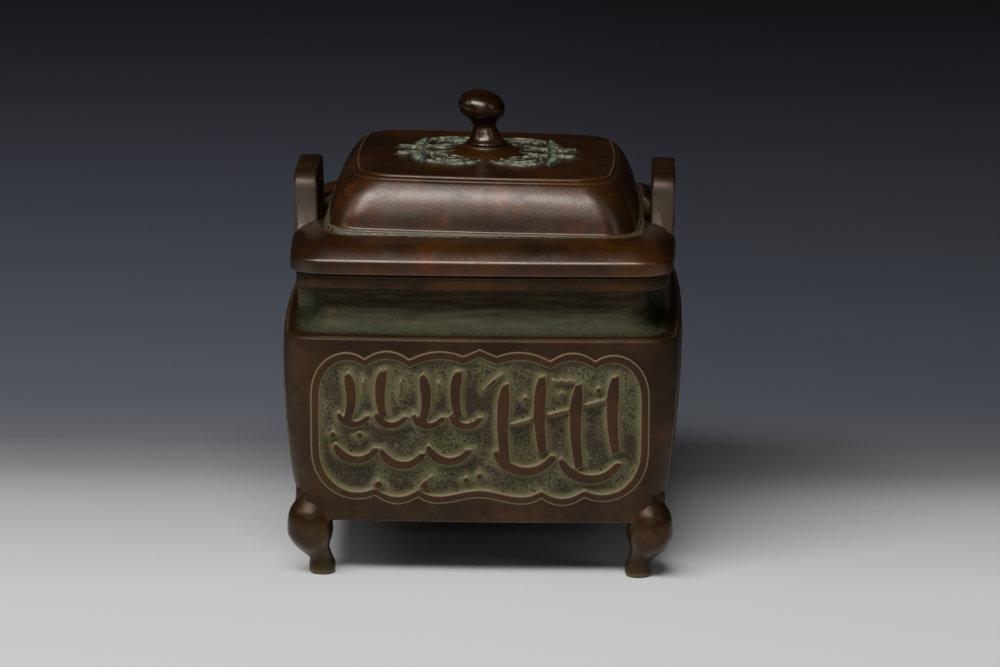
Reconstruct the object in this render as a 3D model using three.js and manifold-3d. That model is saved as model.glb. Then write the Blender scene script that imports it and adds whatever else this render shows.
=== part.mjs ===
// A square cast bronze incense burner with a lid: a low bowed box on four bulbous feet, two upright loop
// handles, a notched lid with a pierced top, and a small knob. Millimetres, +Z up, the front looks along -Y,
// and the origin is on the ground under the middle of the box.
import * as THREE from "three";
import { mergeVertices } from "three/addons/utils/BufferGeometryUtils.js";
import Module from "manifold-3d";

const wasm = await Module();
wasm.setup();
const { Manifold, Mesh } = wasm;

// Driving dimensions of the box
const bodyHalf = 80.6; // half the width of the box at its widest, which is also half its depth
const bodyBow = 2; // how far the middle of a side stands out past its ends
const bodyCorner = 12; // radius of the upright corners
const footHeight = 23.6; // ground to the underside of the box
const wallHeight = 76.4; // underside to the edge of the shoulder
const wallTaper = 6.2; // how far the foot of the wall stands inside its widest part
const edgeRound = 2.6; // rounding of the wall's lower edge and of the shoulder
const ledgeRise = 0.8; // the shoulder's ledge stands this far above its edge
const neckInset = 13.5; // widest part of the wall to the neck's outside
const neckHeight = 24.8; // shoulder to the lip's top
const neckCorner = 8;
const coveOut = 3.2; // how far the foot of the neck spreads
const coveHigh = 5.8;
const rimOver = 8.9; // how far the lip stands out from the neck
const rimCorner = 13;
const rimThick = 6.2;
const rimRound = 1;
const wall = 3.9; // thickness of the cast wall
const floorThick = 4.4;

// Driving dimensions of the handles
const handleWide = 48; // front to back
const handleThick = 9.3;
const handleHigh = 33.5; // lip's top to the top of the loop
const handleCorner = 7; // radius of the loop's upper corners
const handleStep = 0.1; // neck's outside to the loop's inner face
const handleBar = 16.6; // width of each leg of the loop
const handleBridge = 10; // thickness of the loop's top bar
const handleLean = 0.026; // outward lean, in radians
const handleEdge = 0.9; // bevel along the loop's edges
const eyeSill = 2; // lip's top to the foot of the loop's hole

// Driving dimensions of the feet
const footInset = 16.9; // widest part of the wall to the middle of a sole, along X and along Y
const soleRadius = 4.6;
const hoofRadius = 5.3;
const hoofHigh = 4.4;
const ankleRadius = 4.9;
const kneeRadius = 9.3;
const kneeOut = 4.6; // how far the knee stands outside its sole, along X and along Y
const kneeDrop = 3.6; // underside of the box down to the fullest part of the knee
const footClimb = 11.4; // underside of the box up to where the foot dies into the wall

// Driving dimensions of the lid
const seatGap = 0.4; // open seam between the lip and the lid
const lidOver = 2; // how far the lid's flange stands out past the lip
const lidBow = 1.6;
const lidCorner = 14;
const flangeThick = 5.2; // height of the flange's upright edge
const ledgeWide = 15.3; // flange's edge to the dome's foot
const domeRise = 13.6; // flange's underside to the dome's foot
const domeHeight = 21.5; // dome's foot to the flat top
const domeIn = 10.5; // dome's foot to the edge of the flat top
const plateCorner = 14;
const lidTilt = 1; // slant of the dome and the flat top down to the right, in degrees
const lidWall = 3.6;
const mouthGap = 1.2; // play between the lid's collar and the mouth
const collarDeep = 5.5;
const notchGapIn = 2.6; // lid's notch to the loop's inner face
const notchGapSide = 0.8; // lid's notch to the loop's front and back

// Driving dimensions of the pierced top and the knob
const plateCrown = 1.2; // how far the middle of the flat top swells above its edge
const bossRadius = 15.8;
const bossHigh = 3.2;
const roundelX = 13.2; // middle of the lid to the middle of a scroll roundel
const roundelY = 16.2;
const roundelRadius = 12.6; // middle line of a roundel's outer crescent
const slotWide = 3; // widest part of a pierced slot
const scrollWide = 4.4; // widest part of a scroll
const scrollRise = 0.9; // how far the scrolls stand above the lid's top
const knobGap = 0.3; // knob's foot to the boss
const knobFoot = 8.2;
const knobWaist = 4.7;
const knobBall = 9.5; // half the width of the ball
const knobBallHigh = 6.9; // half the height of the ball
const knobHigh = 22.1;
const knobLean = 0.17; // sideways shift of the ball for each millimetre of height

// Driving dimensions of the cartouches
const panelMargin = 13.2; // widest part of the wall to the cartouche's side
const panelBelow = 8.1; // underside of the box to the cartouche's foot
const panelAbove = 4.7; // cartouche's head to the shoulder
const bandWide = 3.4;
const bandRise = 0.5; // the band and the strokes stand this far out of the wall
const groundDeep = 1.3; // the ground inside the band lies this far below the wall
const cuspDeep = 3.4;
const strokeWide = 4.2;

// Heights and half widths that follow
const underside = footHeight;
const shoulder = underside + wallHeight;
const rimTop = shoulder + neckHeight;
const neckHalf = bodyHalf - neckInset;
const mouthHalf = neckHalf - wall;
const rimHalf = neckHalf + rimOver;
const handleTop = rimTop + handleHigh;
const handleInside = neckHalf + handleStep;
const footSpread = bodyHalf - footInset;
const seat = rimTop + seatGap;
const lidHalf = rimHalf + lidOver;
const domeFoot = seat + domeRise;
const domeHalf = lidHalf - ledgeWide;
const plateHalf = domeHalf - domeIn;
const plateZ = domeFoot + domeHeight;
const panelHalfWide = bodyHalf - panelMargin;
const panelHalfHigh = (wallHeight - panelBelow - panelAbove) / 2;
const panelMiddle = underside + panelBelow + panelHalfHigh;

const CORNER_STEPS = 3;
const SIDE_STEPS = 3;
const SIDES = [0, 1, 2, 3];

// Solids and meshes

function solid(geometry) {
  const bare = geometry.index ? geometry.toNonIndexed() : geometry.clone();
  for (const name of Object.keys(bare.attributes)) if (name !== "position") bare.deleteAttribute(name);
  const merged = mergeVertices(bare, 1e-4);
  const made = new Mesh({
    numProp: 3,
    vertProperties: merged.attributes.position.array,
    triVerts: new Uint32Array(merged.index.array),
  });
  return new Manifold(made);
}

function named(name, manifold, material) {
  const cut = manifold.getMesh();
  const geometry = new THREE.BufferGeometry();
  geometry.setAttribute("position", new THREE.BufferAttribute(cut.vertProperties, 3));
  geometry.setIndex(new THREE.BufferAttribute(cut.triVerts, 1));
  const faceted = geometry.toNonIndexed();
  faceted.computeVertexNormals();
  const mesh = new THREE.Mesh(faceted, material);
  mesh.name = name;
  return mesh;
}

const joined = (solids) => solids.reduce((sum, one) => sum.add(one));

// A square with bowed sides and round corners, as a ring of points
function ring({ half, corner, bow }) {
  const run = half - bow - corner;
  const kink = Math.atan2(2 * bow, run);
  const points = [];
  for (const side of SIDES) {
    const turn = new THREE.Matrix3().makeRotation((side * Math.PI) / 2);
    const quarter = [];
    for (let i = 0; i <= SIDE_STEPS; i++) {
      const along = run * ((2 * i) / SIDE_STEPS - 1);
      quarter.push([along, -(half - bow * (along / run) ** 2)]);
    }
    const centre = [run - corner * Math.sin(kink), corner * Math.cos(kink) - (half - bow)];
    for (let i = 1; i < CORNER_STEPS; i++) {
      const angle = -Math.PI / 2 + kink + ((Math.PI / 2 - 2 * kink) * i) / CORNER_STEPS;
      quarter.push([centre[0] + corner * Math.cos(angle), centre[1] + corner * Math.sin(angle)]);
    }
    for (const [x, y] of quarter) points.push(new THREE.Vector2(x, y).applyMatrix3(turn));
  }
  return points;
}

// A closed skin over rings of points that all have the same count, lowest ring first
function loft(rings) {
  const count = rings[0].points.length;
  const position = rings.flatMap(({ points, z }) => points.flatMap((p) => [p.x, p.y, z]));
  const index = [];
  for (let level = 0; level + 1 < rings.length; level++) {
    for (let i = 0; i < count; i++) {
      const a = level * count + i;
      const b = level * count + ((i + 1) % count);
      index.push(a, b, b + count, a, b + count, a + count);
    }
  }
  const last = (rings.length - 1) * count;
  for (const [a, b, c] of THREE.ShapeUtils.triangulateShape(rings[0].points, [])) index.push(c, b, a);
  for (const [a, b, c] of THREE.ShapeUtils.triangulateShape(rings.at(-1).points, [])) {
    index.push(last + a, last + b, last + c);
  }
  const geometry = new THREE.BufferGeometry();
  geometry.setAttribute("position", new THREE.Float32BufferAttribute(position, 3));
  geometry.setIndex(index);
  return solid(geometry);
}

// A loft from rows of [half width, height, corner radius]; grow moves every row outwards
function squareLoft(rows, bow, grow = 0) {
  return loft(rows.map(([half, z, corner]) => ({ points: ring({ half: half + grow, corner, bow }), z })));
}

// A prism of a flat shape drawn as seen from outside one side of the box, reaching through that wall
function sidePrism(shape, side) {
  const reach = bodyHalf * 2;
  const geometry = new THREE.ExtrudeGeometry(shape, { depth: reach, bevelEnabled: false, curveSegments: 3 });
  geometry.rotateX(Math.PI / 2).rotateZ((side * Math.PI) / 2);
  return solid(geometry).translate([0, 0, panelMiddle]);
}

// Brush strokes: a centre line of even curvature, swelling from a point to its full width and back

function brush({ x, y, length, heading, turn = 0, width, head = 0.35 }) {
  const steps = Math.abs(turn) > 1 ? 3 : 2;
  const left = [];
  const right = [];
  let [px, py] = [x, y];
  for (let i = 0; i <= steps; i++) {
    const t = i / steps;
    const angle = heading + turn * t;
    const swell = width * (t < head ? 0.55 + 0.45 * (t / head) : 1 - 0.7 * ((t - head) / (1 - head)) ** 1.6);
    const [nx, ny] = [-Math.sin(angle), Math.cos(angle)];
    left.push(new THREE.Vector2(px + (nx * swell) / 2, py + (ny * swell) / 2));
    right.push(new THREE.Vector2(px - (nx * swell) / 2, py - (ny * swell) / 2));
    px += (Math.cos(angle + turn / (2 * steps)) * length) / steps;
    py += (Math.sin(angle + turn / (2 * steps)) * length) / steps;
  }
  return new THREE.Shape([...right, ...left.reverse()]);
}

function lozenge(x, y, size) {
  const reach = size / 2;
  return new THREE.Shape([
    new THREE.Vector2(x + reach, y),
    new THREE.Vector2(x, y + reach),
    new THREE.Vector2(x - reach, y),
    new THREE.Vector2(x, y - reach),
  ]);
}

// The lobed outline of a cartouche, drawn inwards by inset, with its cusps at shares of its half width
function cartouche(inset) {
  const w = panelHalfWide - inset;
  const h = panelHalfHigh - inset;
  const outerCusp = panelHalfWide * 0.68;
  const innerCusp = panelHalfWide * 0.415;
  const waist = panelHalfWide * 0.1;
  const cornerPull = panelHalfWide * 0.12;
  const shape = new THREE.Shape();
  shape.moveTo(w, -h * 0.3);
  shape.lineTo(w, h * 0.42);
  shape.bezierCurveTo(w, h * 0.9, outerCusp + cornerPull, h + cuspDeep * 0.9, outerCusp, h - cuspDeep);
  shape.quadraticCurveTo((outerCusp + innerCusp) / 2, h + cuspDeep, innerCusp, h - cuspDeep);
  shape.quadraticCurveTo((innerCusp + waist) / 2, h + cuspDeep * 0.8, waist, h - cuspDeep * 0.5);
  shape.lineTo(0, h + cuspDeep * 0.35);
  shape.lineTo(-waist, h - cuspDeep * 0.5);
  shape.quadraticCurveTo(-(innerCusp + waist) / 2, h + cuspDeep * 0.8, -innerCusp, h - cuspDeep);
  shape.quadraticCurveTo(-(outerCusp + innerCusp) / 2, h + cuspDeep, -outerCusp, h - cuspDeep);
  shape.bezierCurveTo(-outerCusp - cornerPull, h + cuspDeep * 0.9, -w, h * 0.9, -w, h * 0.42);
  shape.lineTo(-w, -h * 0.3);
  const lowOuter = panelHalfWide * 0.62;
  const lowInner = panelHalfWide * 0.365;
  const lowPull = lowOuter + cornerPull * 1.2;
  const lowCusp = -h + cuspDeep * 0.9;
  const belly = -h - cuspDeep * 0.9;
  shape.bezierCurveTo(-w, -h * 0.85, -lowPull, -h - cuspDeep * 0.6, -lowOuter, -h + cuspDeep);
  shape.quadraticCurveTo(-(lowOuter + lowInner) / 2, -h - cuspDeep, -lowInner, lowCusp);
  shape.bezierCurveTo(-lowInner * 0.7, belly, -waist, -h + cuspDeep, 0, lowCusp);
  shape.bezierCurveTo(waist, -h + cuspDeep, lowInner * 0.7, belly, lowInner, lowCusp);
  shape.quadraticCurveTo((lowOuter + lowInner) / 2, -h - cuspDeep, lowOuter, -h + cuspDeep);
  shape.bezierCurveTo(lowPull, -h - cuspDeep * 0.6, w, -h * 0.85, w, -h * 0.3);
  return shape;
}

// Rows of plain strokes inside a cartouche, tall ones on the right and two tiers on the left. Places and
// lengths are shares of the cartouche's half width and half height.
function strokeRows() {
  const w = panelHalfWide;
  const h = panelHalfHigh;
  const down = -Math.PI / 2;
  const shapes = [];
  const tall = { heading: down - 0.16, turn: 0.34, width: strokeWide * 1.25 };
  for (let i = 0; i < 4; i++) {
    const step = 0.1 * (i % 2);
    shapes.push(brush({ x: w * (0.8 - 0.215 * i), y: h * (0.7 - step), length: h * (1 + step), ...tall }));
  }
  const wide = { length: h * 0.94, heading: down + 0.35, turn: 2.3, width: strokeWide, head: 0.5 };
  for (let i = 0; i < 2; i++) {
    shapes.push(brush({ x: w * (0.09 + 0.385 * i), y: -h * (0.28 + 0.1 * i), ...wide }));
  }
  for (let i = 0; i < 4; i++) {
    const bend = i % 2 ? -0.7 : 0.7;
    const upright = { length: h * 0.63, heading: down - bend / 2, turn: bend, width: strokeWide * 1.1 };
    shapes.push(brush({ x: -w * (0.12 + 0.222 * i), y: h * (0.76 - 0.06 * (i % 2)), ...upright }));
  }
  const bowl = { length: h * 0.69, heading: down + 0.3, turn: 2.4, width: strokeWide, head: 0.5 };
  for (let i = 0; i < 4; i++) {
    shapes.push(brush({ ...bowl, x: -w * (0.84 - 0.222 * i), y: h * 0.19, length: h * 0.5 }));
  }
  for (let i = 0; i < 3; i++) {
    shapes.push(brush({ x: -w * (0.86 - 0.275 * i), y: -h * (0.22 + 0.06 * (i % 2)), ...bowl }));
  }
  for (let i = 0; i < 2; i++) {
    shapes.push(lozenge(-w * (0.6 - 0.275 * i), -h * 0.75, strokeWide));
  }
  return shapes;
}

// The box

// The wall swells from its foot to its widest part just under the shoulder; share runs from 0 to 1 upwards
function swellRow(share) {
  return [bodyHalf - wallTaper * (1 - share) ** 2.2, underside + wallHeight * share, bodyCorner];
}

const wallRows = [
  [bodyHalf - wallTaper - edgeRound, underside, bodyCorner - edgeRound],
  swellRow(edgeRound / wallHeight),
  swellRow(0.4),
  [bodyHalf, shoulder - edgeRound, bodyCorner],
  [bodyHalf - edgeRound * 0.15, shoulder - edgeRound * 0.1, bodyCorner],
  [bodyHalf - edgeRound * 0.8, shoulder + ledgeRise, bodyCorner],
  [neckHalf + coveOut * 2.3, shoulder + ledgeRise * 0.9, bodyCorner - 1],
  [neckHalf + coveOut, shoulder + coveHigh * 0.35, bodyCorner - 2],
  [neckHalf + coveOut * 0.2, shoulder + coveHigh, neckCorner],
  [neckHalf, rimTop - rimThick, neckCorner],
  [rimHalf - rimRound * 0.8, rimTop - rimThick, rimCorner],
  [rimHalf, rimTop - rimThick + rimRound, rimCorner],
  [rimHalf, rimTop - rimRound, rimCorner],
  [rimHalf - rimRound * 0.9, rimTop, rimCorner],
];
const innerCorner = bodyCorner - wall;
const cavityRows = [
  [bodyHalf - wall - wallTaper - 1, underside + floorThick, innerCorner],
  [bodyHalf - wall - wallTaper * 0.5, underside + wallHeight * 0.24, innerCorner],
  [bodyHalf - wall - 0.9, underside + wallHeight * 0.62, innerCorner],
  [bodyHalf - wall - 1.4, shoulder - wall * 1.3, innerCorner],
  [mouthHalf + 1.8, shoulder - wall * 0.8, neckCorner - 1],
  [mouthHalf, shoulder, neckCorner - 1],
  [mouthHalf, rimTop + 1, neckCorner - 1],
];

// A foot: rows of [radius, height, share of the way from over the sole to over the knee]
function foot(signX, signY) {
  const knee = underside - kneeDrop;
  const swell = kneeRadius - ankleRadius;
  const rows = [
    [soleRadius, 0, 0],
    [hoofRadius, hoofRadius - soleRadius, 0],
    [hoofRadius, hoofHigh, 0],
    [ankleRadius, knee * 0.35, 0.13],
    [ankleRadius + swell * 0.45, knee * 0.6, 0.8],
    [ankleRadius + swell * 0.88, knee * 0.82, 1],
    [kneeRadius, knee, 1],
    [kneeRadius * 0.93, underside + footClimb * 0.2, 1],
    [kneeRadius * 0.75, underside + footClimb * 0.56, 0.9],
    [kneeRadius * 0.4, underside + footClimb, 0.65],
  ];
  const circle = 10;
  return loft(
    rows.map(([radius, z, out]) => ({
      z,
      points: Array.from({ length: circle }, (_, i) => {
        const angle = (2 * Math.PI * i) / circle;
        return new THREE.Vector2(
          signX * (footSpread + kneeOut * out) + radius * Math.cos(angle),
          signY * (footSpread + kneeOut * out) + radius * Math.sin(angle),
        );
      }),
    })),
  );
}

// A flat loop standing on the shoulder beside the lip, leaning out a little; side is 1 for right, -1 for left
function handle(side) {
  const root = shoulder - edgeRound / 2;
  const plate = new THREE.Shape();
  const half = handleWide / 2 - handleEdge;
  const top = handleTop - handleEdge;
  plate.moveTo(-half, root);
  plate.lineTo(half, root);
  plate.lineTo(half, top - handleCorner);
  plate.absarc(half - handleCorner, top - handleCorner, handleCorner, 0, Math.PI / 2);
  plate.absarc(handleCorner - half, top - handleCorner, handleCorner, Math.PI / 2, Math.PI);
  const eye = new THREE.Path();
  const eyeHalf = handleWide / 2 - handleBar + handleEdge;
  const eyeTop = handleTop - handleBridge + handleEdge;
  const eyeFloor = rimTop + eyeSill - handleEdge;
  const eyeRound = eyeHalf * 0.6;
  eye.moveTo(-eyeHalf, eyeFloor);
  eye.lineTo(-eyeHalf, eyeTop - eyeRound);
  eye.absarc(eyeRound - eyeHalf, eyeTop - eyeRound, eyeRound, Math.PI, Math.PI / 2, true);
  eye.absarc(eyeHalf - eyeRound, eyeTop - eyeRound, eyeRound, Math.PI / 2, 0, true);
  eye.lineTo(eyeHalf, eyeFloor);
  plate.holes.push(eye);
  const geometry = new THREE.ExtrudeGeometry(plate, {
    depth: handleThick - 2 * handleEdge,
    bevelThickness: handleEdge,
    bevelSize: handleEdge,
    bevelSegments: 1,
    curveSegments: 2,
  });
  geometry.rotateX(Math.PI / 2).rotateZ(Math.PI / 2).translate(handleInside + handleEdge, 0, -rimTop);
  geometry.rotateY(handleLean).translate(0, 0, rimTop);
  const filler = new THREE.BoxGeometry(wall, handleWide - 2 * handleEdge, rimTop - rimThick - root);
  filler.translate(neckHalf, 0, (rimTop - rimThick + root) / 2);
  const made = solid(geometry).add(solid(filler));
  return side > 0 ? made : made.rotate([0, 0, 180]);
}

function vessel() {
  const proud = squareLoft(wallRows, bodyBow, bandRise);
  const sunk = squareLoft(wallRows, bodyBow, -groundDeep);
  const marks = SIDES.map((side) => joined(strokeRows().map((shape) => sidePrism(shape, side))));
  let made = squareLoft(wallRows, bodyBow);
  for (const side of SIDES) {
    const pocket = sidePrism(cartouche(bandWide / 2), side);
    const band = sidePrism(cartouche(0), side).subtract(sidePrism(cartouche(bandWide), side));
    made = made.subtract(pocket.subtract(sunk)).add(band.add(marks[side]).intersect(proud));
  }
  for (const signX of [-1, 1]) {
    made = made.add(handle(signX));
    for (const signY of [-1, 1]) made = made.add(foot(signX, signY));
  }
  return made.subtract(squareLoft(cavityRows, bodyBow));
}

// The lid, which rests on the lip

const lidTurn = lidCorner - 2;
const flangeRows = [
  [lidHalf - 0.5, seat, lidCorner],
  [lidHalf, seat + 0.6, lidCorner],
  [lidHalf, seat + flangeThick, lidCorner],
  [lidHalf - 0.8, seat + flangeThick + 1, lidCorner],
  [lidHalf - ledgeWide * 0.27, seat + domeRise * 0.74, lidCorner],
  [lidHalf - ledgeWide * 0.55, seat + domeRise * 0.92, lidCorner],
  [domeHalf + 1.2, domeFoot, lidTurn],
];
const domeRows = [
  [domeHalf, seat + flangeThick, lidTurn],
  [domeHalf, domeFoot + 0.3, lidTurn],
  [domeHalf - 0.4, domeFoot + 1.8, lidTurn],
  [domeHalf - domeIn * 0.1, domeFoot + domeHeight * 0.32, plateCorner - 1],
  [domeHalf - domeIn * 0.38, domeFoot + domeHeight * 0.68, plateCorner],
  [domeHalf - domeIn * 0.7, domeFoot + domeHeight * 0.89, plateCorner],
  [plateHalf, plateZ, plateCorner],
  [bossRadius * 2, plateZ + plateCrown, bossRadius],
];
const hollowHalf = domeHalf - lidWall - 0.3;
const hollowCorner = neckCorner - 3;
const mouthRows = [
  [hollowHalf, seat - collarDeep - 1, hollowCorner],
  [hollowHalf, domeFoot, hollowCorner],
];
const hollowRows = [
  [hollowHalf, seat + flangeThick, hollowCorner],
  [hollowHalf, domeFoot + 1, hollowCorner],
  [plateHalf + domeIn * 0.6 - lidWall, plateZ - lidWall - domeHeight * 0.2, plateCorner - lidWall],
  [plateHalf + domeIn * 0.15 - lidWall, plateZ - lidWall, plateCorner - lidWall],
];

// What stands on the flange slants with the dome, about the middle of the dome's foot
function slanted(made) {
  return made.translate([0, 0, -domeFoot]).rotate([0, lidTilt, 0]).translate([0, 0, domeFoot]);
}

// An arc round the middle of a roundel, from one angle to another, drawn as a brush stroke
function roundelArc(radius, from, to, width) {
  const x = roundelX + radius * Math.cos(from);
  const y = roundelY + radius * Math.sin(from);
  const turn = to - from;
  return brush({ x, y, length: radius * turn, heading: from + Math.PI / 2, turn, width, head: 0.5 });
}

// One quarter of the lid's scrollwork seen from above: two crescents, a stem, a tongue and a leaf
function quarterScrolls() {
  const side = roundelX + roundelRadius;
  const low = roundelY - roundelRadius * 0.97;
  const stem = { length: roundelRadius * 1.75, heading: 1.5, turn: 0.35, width: scrollWide, head: 0.5 };
  const tongue = { length: roundelRadius * 0.87, heading: 0.9, turn: -0.9, width: scrollWide * 1.2 };
  const leaf = { length: roundelRadius * 1.03, heading: 2.2, turn: 0.5, width: scrollWide * 1.1, head: 0.5 };
  return [
    roundelArc(roundelRadius, 0.6, 2.7, scrollWide * 0.9),
    roundelArc(roundelRadius * 0.58, 0.3, 2.9, scrollWide * 0.8),
    brush({ x: side + 2, y: low, ...stem }),
    brush({ x: side + 1, y: low * 0.75, ...tongue }),
    brush({ x: side - 1, y: low, ...leaf }),
  ];
}

// One quarter of the slots that pierce the lid between the scrolls
function quarterSlots() {
  const across = { length: roundelRadius * 0.87, heading: 1.35, turn: 0.5, width: slotWide, head: 0.5 };
  return [
    roundelArc(roundelRadius * 0.8, 0.5, 2.6, slotWide),
    roundelArc(roundelRadius * 0.33, -0.4, 2.8, slotWide),
    brush({ x: roundelX + roundelRadius * 0.68, y: roundelY - roundelRadius * 0.5, ...across }),
  ];
}

// A flat shape raised as a slab between two heights, copied to all four quarters by mirroring
function inQuarters(shape, low, high) {
  const options = { depth: high - low, bevelEnabled: false, curveSegments: 3 };
  const one = solid(new THREE.ExtrudeGeometry(shape, options)).translate([0, 0, low]);
  const pair = one.add(one.mirror([1, 0, 0]));
  return pair.add(pair.mirror([0, 1, 0]));
}

function boss() {
  const points = [
    [0, -1],
    [bossRadius + 0.6, -1],
    [bossRadius, 0.3],
    [bossRadius * 0.75, 1.3],
    [knobFoot + 0.8, bossHigh - 0.5],
    [knobFoot + 0.3, bossHigh],
    [0, bossHigh],
  ].map(([radius, height]) => new THREE.Vector2(radius, height));
  const geometry = new THREE.LatheGeometry(points, 16).rotateX(Math.PI / 2);
  geometry.translate(0, 0, plateZ + plateCrown);
  return solid(geometry);
}

function lid() {
  const under = seat - collarDeep;
  const collarRows = [
    [mouthHalf - mouthGap, under, neckCorner - 2],
    [mouthHalf - mouthGap, seat + 1, neckCorner - 2],
  ];
  const notch = new THREE.BoxGeometry(lidHalf, handleWide + 2 * notchGapSide, domeRise * 4);
  notch.translate(handleInside - notchGapIn + lidHalf / 2, 0, seat);
  const notches = solid(notch).add(solid(notch).rotate([0, 0, 180]));
  const scrollTop = plateZ + plateCrown + scrollRise;
  const scrolls = quarterScrolls().map((shape) => inQuarters(shape, plateZ - lidWall / 2, scrollTop));
  const slots = quarterSlots().map((shape) => inQuarters(shape, plateZ - lidWall * 2, plateZ + lidWall));
  const dome = squareLoft(domeRows, lidBow).add(joined(scrolls)).add(boss());
  return squareLoft(flangeRows, lidBow)
    .subtract(notches)
    .add(squareLoft(collarRows, bodyBow))
    .add(slanted(dome))
    .subtract(squareLoft(mouthRows, lidBow))
    .subtract(slanted(squareLoft(hollowRows, lidBow).add(joined(slots))));
}

// The knob, whose stem leans to the left while its foot stays flat on the boss

function knob() {
  const ballZ = knobHigh - knobBallHigh;
  const points = [
    new THREE.Vector2(0, 0),
    new THREE.Vector2(knobFoot - 0.2, 0),
    new THREE.Vector2(knobFoot, 0.6),
    new THREE.Vector2(knobFoot * 0.8, 2.3),
    new THREE.Vector2(knobWaist * 1.12, 5.2),
    new THREE.Vector2(knobWaist, 7.4),
  ];
  const start = Math.acos(knobWaist / knobBall);
  const steps = 8;
  for (let i = 0; i <= steps; i++) {
    const angle = -start + ((Math.PI / 2 + start) * i) / steps;
    const radius = i === steps ? 0 : knobBall * Math.cos(angle);
    points.push(new THREE.Vector2(radius, ballZ + knobBallHigh * Math.sin(angle)));
  }
  const geometry = new THREE.LatheGeometry(points, 16).rotateX(Math.PI / 2);
  geometry.applyMatrix4(new THREE.Matrix4().makeShear(0, 0, 0, 0, -knobLean, 0));
  return slanted(solid(geometry).translate([0, 0, plateZ + plateCrown + bossHigh + knobGap]));
}

const patina = new THREE.MeshStandardMaterial({ color: 0x4a3526, roughness: 0.45, metalness: 0.7 });
const burner = new THREE.Group();
burner.add(named("vessel", vessel(), patina));
burner.add(named("lid", lid(), patina));
burner.add(named("knob", knob(), patina));

export default burner;
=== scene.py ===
import math

import bpy
import numpy as np
from mathutils import Euler, Matrix, Vector


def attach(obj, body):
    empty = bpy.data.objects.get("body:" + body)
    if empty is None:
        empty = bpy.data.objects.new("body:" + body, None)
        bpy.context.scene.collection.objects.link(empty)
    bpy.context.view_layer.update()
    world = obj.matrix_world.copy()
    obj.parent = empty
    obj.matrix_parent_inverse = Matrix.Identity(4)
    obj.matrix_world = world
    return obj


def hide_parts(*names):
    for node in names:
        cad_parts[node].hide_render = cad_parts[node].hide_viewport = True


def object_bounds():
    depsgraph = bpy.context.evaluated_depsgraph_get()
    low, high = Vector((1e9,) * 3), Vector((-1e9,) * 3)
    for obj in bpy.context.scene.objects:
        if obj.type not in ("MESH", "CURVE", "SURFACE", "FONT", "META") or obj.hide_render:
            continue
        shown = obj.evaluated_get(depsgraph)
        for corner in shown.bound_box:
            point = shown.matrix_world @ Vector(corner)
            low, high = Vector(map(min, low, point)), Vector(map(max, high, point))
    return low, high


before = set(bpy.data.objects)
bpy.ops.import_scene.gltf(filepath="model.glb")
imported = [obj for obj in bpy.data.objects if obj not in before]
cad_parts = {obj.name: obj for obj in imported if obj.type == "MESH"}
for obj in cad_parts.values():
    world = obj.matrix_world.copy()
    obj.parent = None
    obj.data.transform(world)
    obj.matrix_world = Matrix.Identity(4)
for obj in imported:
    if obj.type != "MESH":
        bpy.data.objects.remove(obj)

cad_low, cad_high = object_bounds()
MM = 0.001

# Sizes of the box, in millimetres, as the solids have them
BODY_HALF, BODY_BOW, BODY_CORNER = 80.6, 2.0, 12.0
UNDERSIDE, WALL_HEIGHT, WALL_TAPER, EDGE_ROUND, LEDGE_RISE = 23.6, 76.4, 6.2, 2.6, 0.8
SHOULDER = UNDERSIDE + WALL_HEIGHT
NECK_HALF, NECK_CORNER, COVE_OUT, COVE_HIGH = BODY_HALF - 13.5, 8.0, 3.2, 5.8
RIM_TOP, RIM_HALF, RIM_CORNER, RIM_THICK = SHOULDER + 24.8, NECK_HALF + 8.9, 13.0, 6.2
WALL, FLOOR_THICK = 3.9, 4.4
MOUTH_HALF = NECK_HALF - WALL

# Sizes of the handles and feet
HANDLE_WIDE, HANDLE_THICK, HANDLE_TOP, HANDLE_CORNER = 48.0, 9.3, RIM_TOP + 33.5, 7.0
HANDLE_INSIDE, HANDLE_BAR, HANDLE_BRIDGE, HANDLE_LEAN = NECK_HALF + 0.1, 16.6, 10.0, 0.026
HANDLE_ROUND, EYE_SILL = 1.1, 2.0
FOOT_SPREAD, KNEE_OUT, KNEE_HEIGHT, FOOT_TOP = BODY_HALF - 16.9, 4.6, UNDERSIDE - 3.6, UNDERSIDE + 11.4
SOLE_RADIUS, HOOF_RADIUS, HOOF_HIGH, ANKLE_RADIUS, KNEE_RADIUS = 4.6, 5.3, 4.4, 4.9, 9.3
FOOT_BLEND, FOOT_PULL = 7.0, 1.7  # reach and height of the soft cast join between a foot and the wall
CAVITY_HEAD, CAVITY_TURN, CAVITY_FOOT = 6, 20, 24  # under the shoulder, and over the underside

# Sizes of the lid and the knob
SEAT = RIM_TOP + 0.4
LID_HALF, LID_BOW, LID_CORNER, FLANGE_THICK = RIM_HALF + 2.0, 1.6, 14.0, 5.2
LEDGE_WIDE, DOME_FOOT, DOME_HEIGHT, DOME_IN = 15.3, SEAT + 13.6, 21.5, 10.5
DOME_HALF = LID_HALF - LEDGE_WIDE
PLATE_HALF, PLATE_Z, PLATE_CORNER, PLATE_CROWN = DOME_HALF - DOME_IN, DOME_FOOT + DOME_HEIGHT, 14.0, 1.2
LID_TILT, LID_WALL, MOUTH_GAP, COLLAR_DEEP = 1.0, 3.6, 1.2, 5.5
NOTCH_GAP_IN, NOTCH_GAP_SIDE = 2.6, 0.8
BOSS_RADIUS, BOSS_HIGH = 15.8, 3.2
ROUNDEL_X, ROUNDEL_Y, ROUNDEL_RADIUS = 13.2, 16.2, 12.6
FOOT_BEAD = ((1.3, 0.2, 0), (1.1, 0.8, 0.4), (0.1, 1.1, 0.5), (-0.3, 2.4, 1.0))  # outwards, up, easing
DOME_SWELL = ((0.1, 0.32, 1, 3), (0.38, 0.68, 0, 3.5), (0.7, 0.89, 0, 2))  # shares in and up, corner, easing
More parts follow.
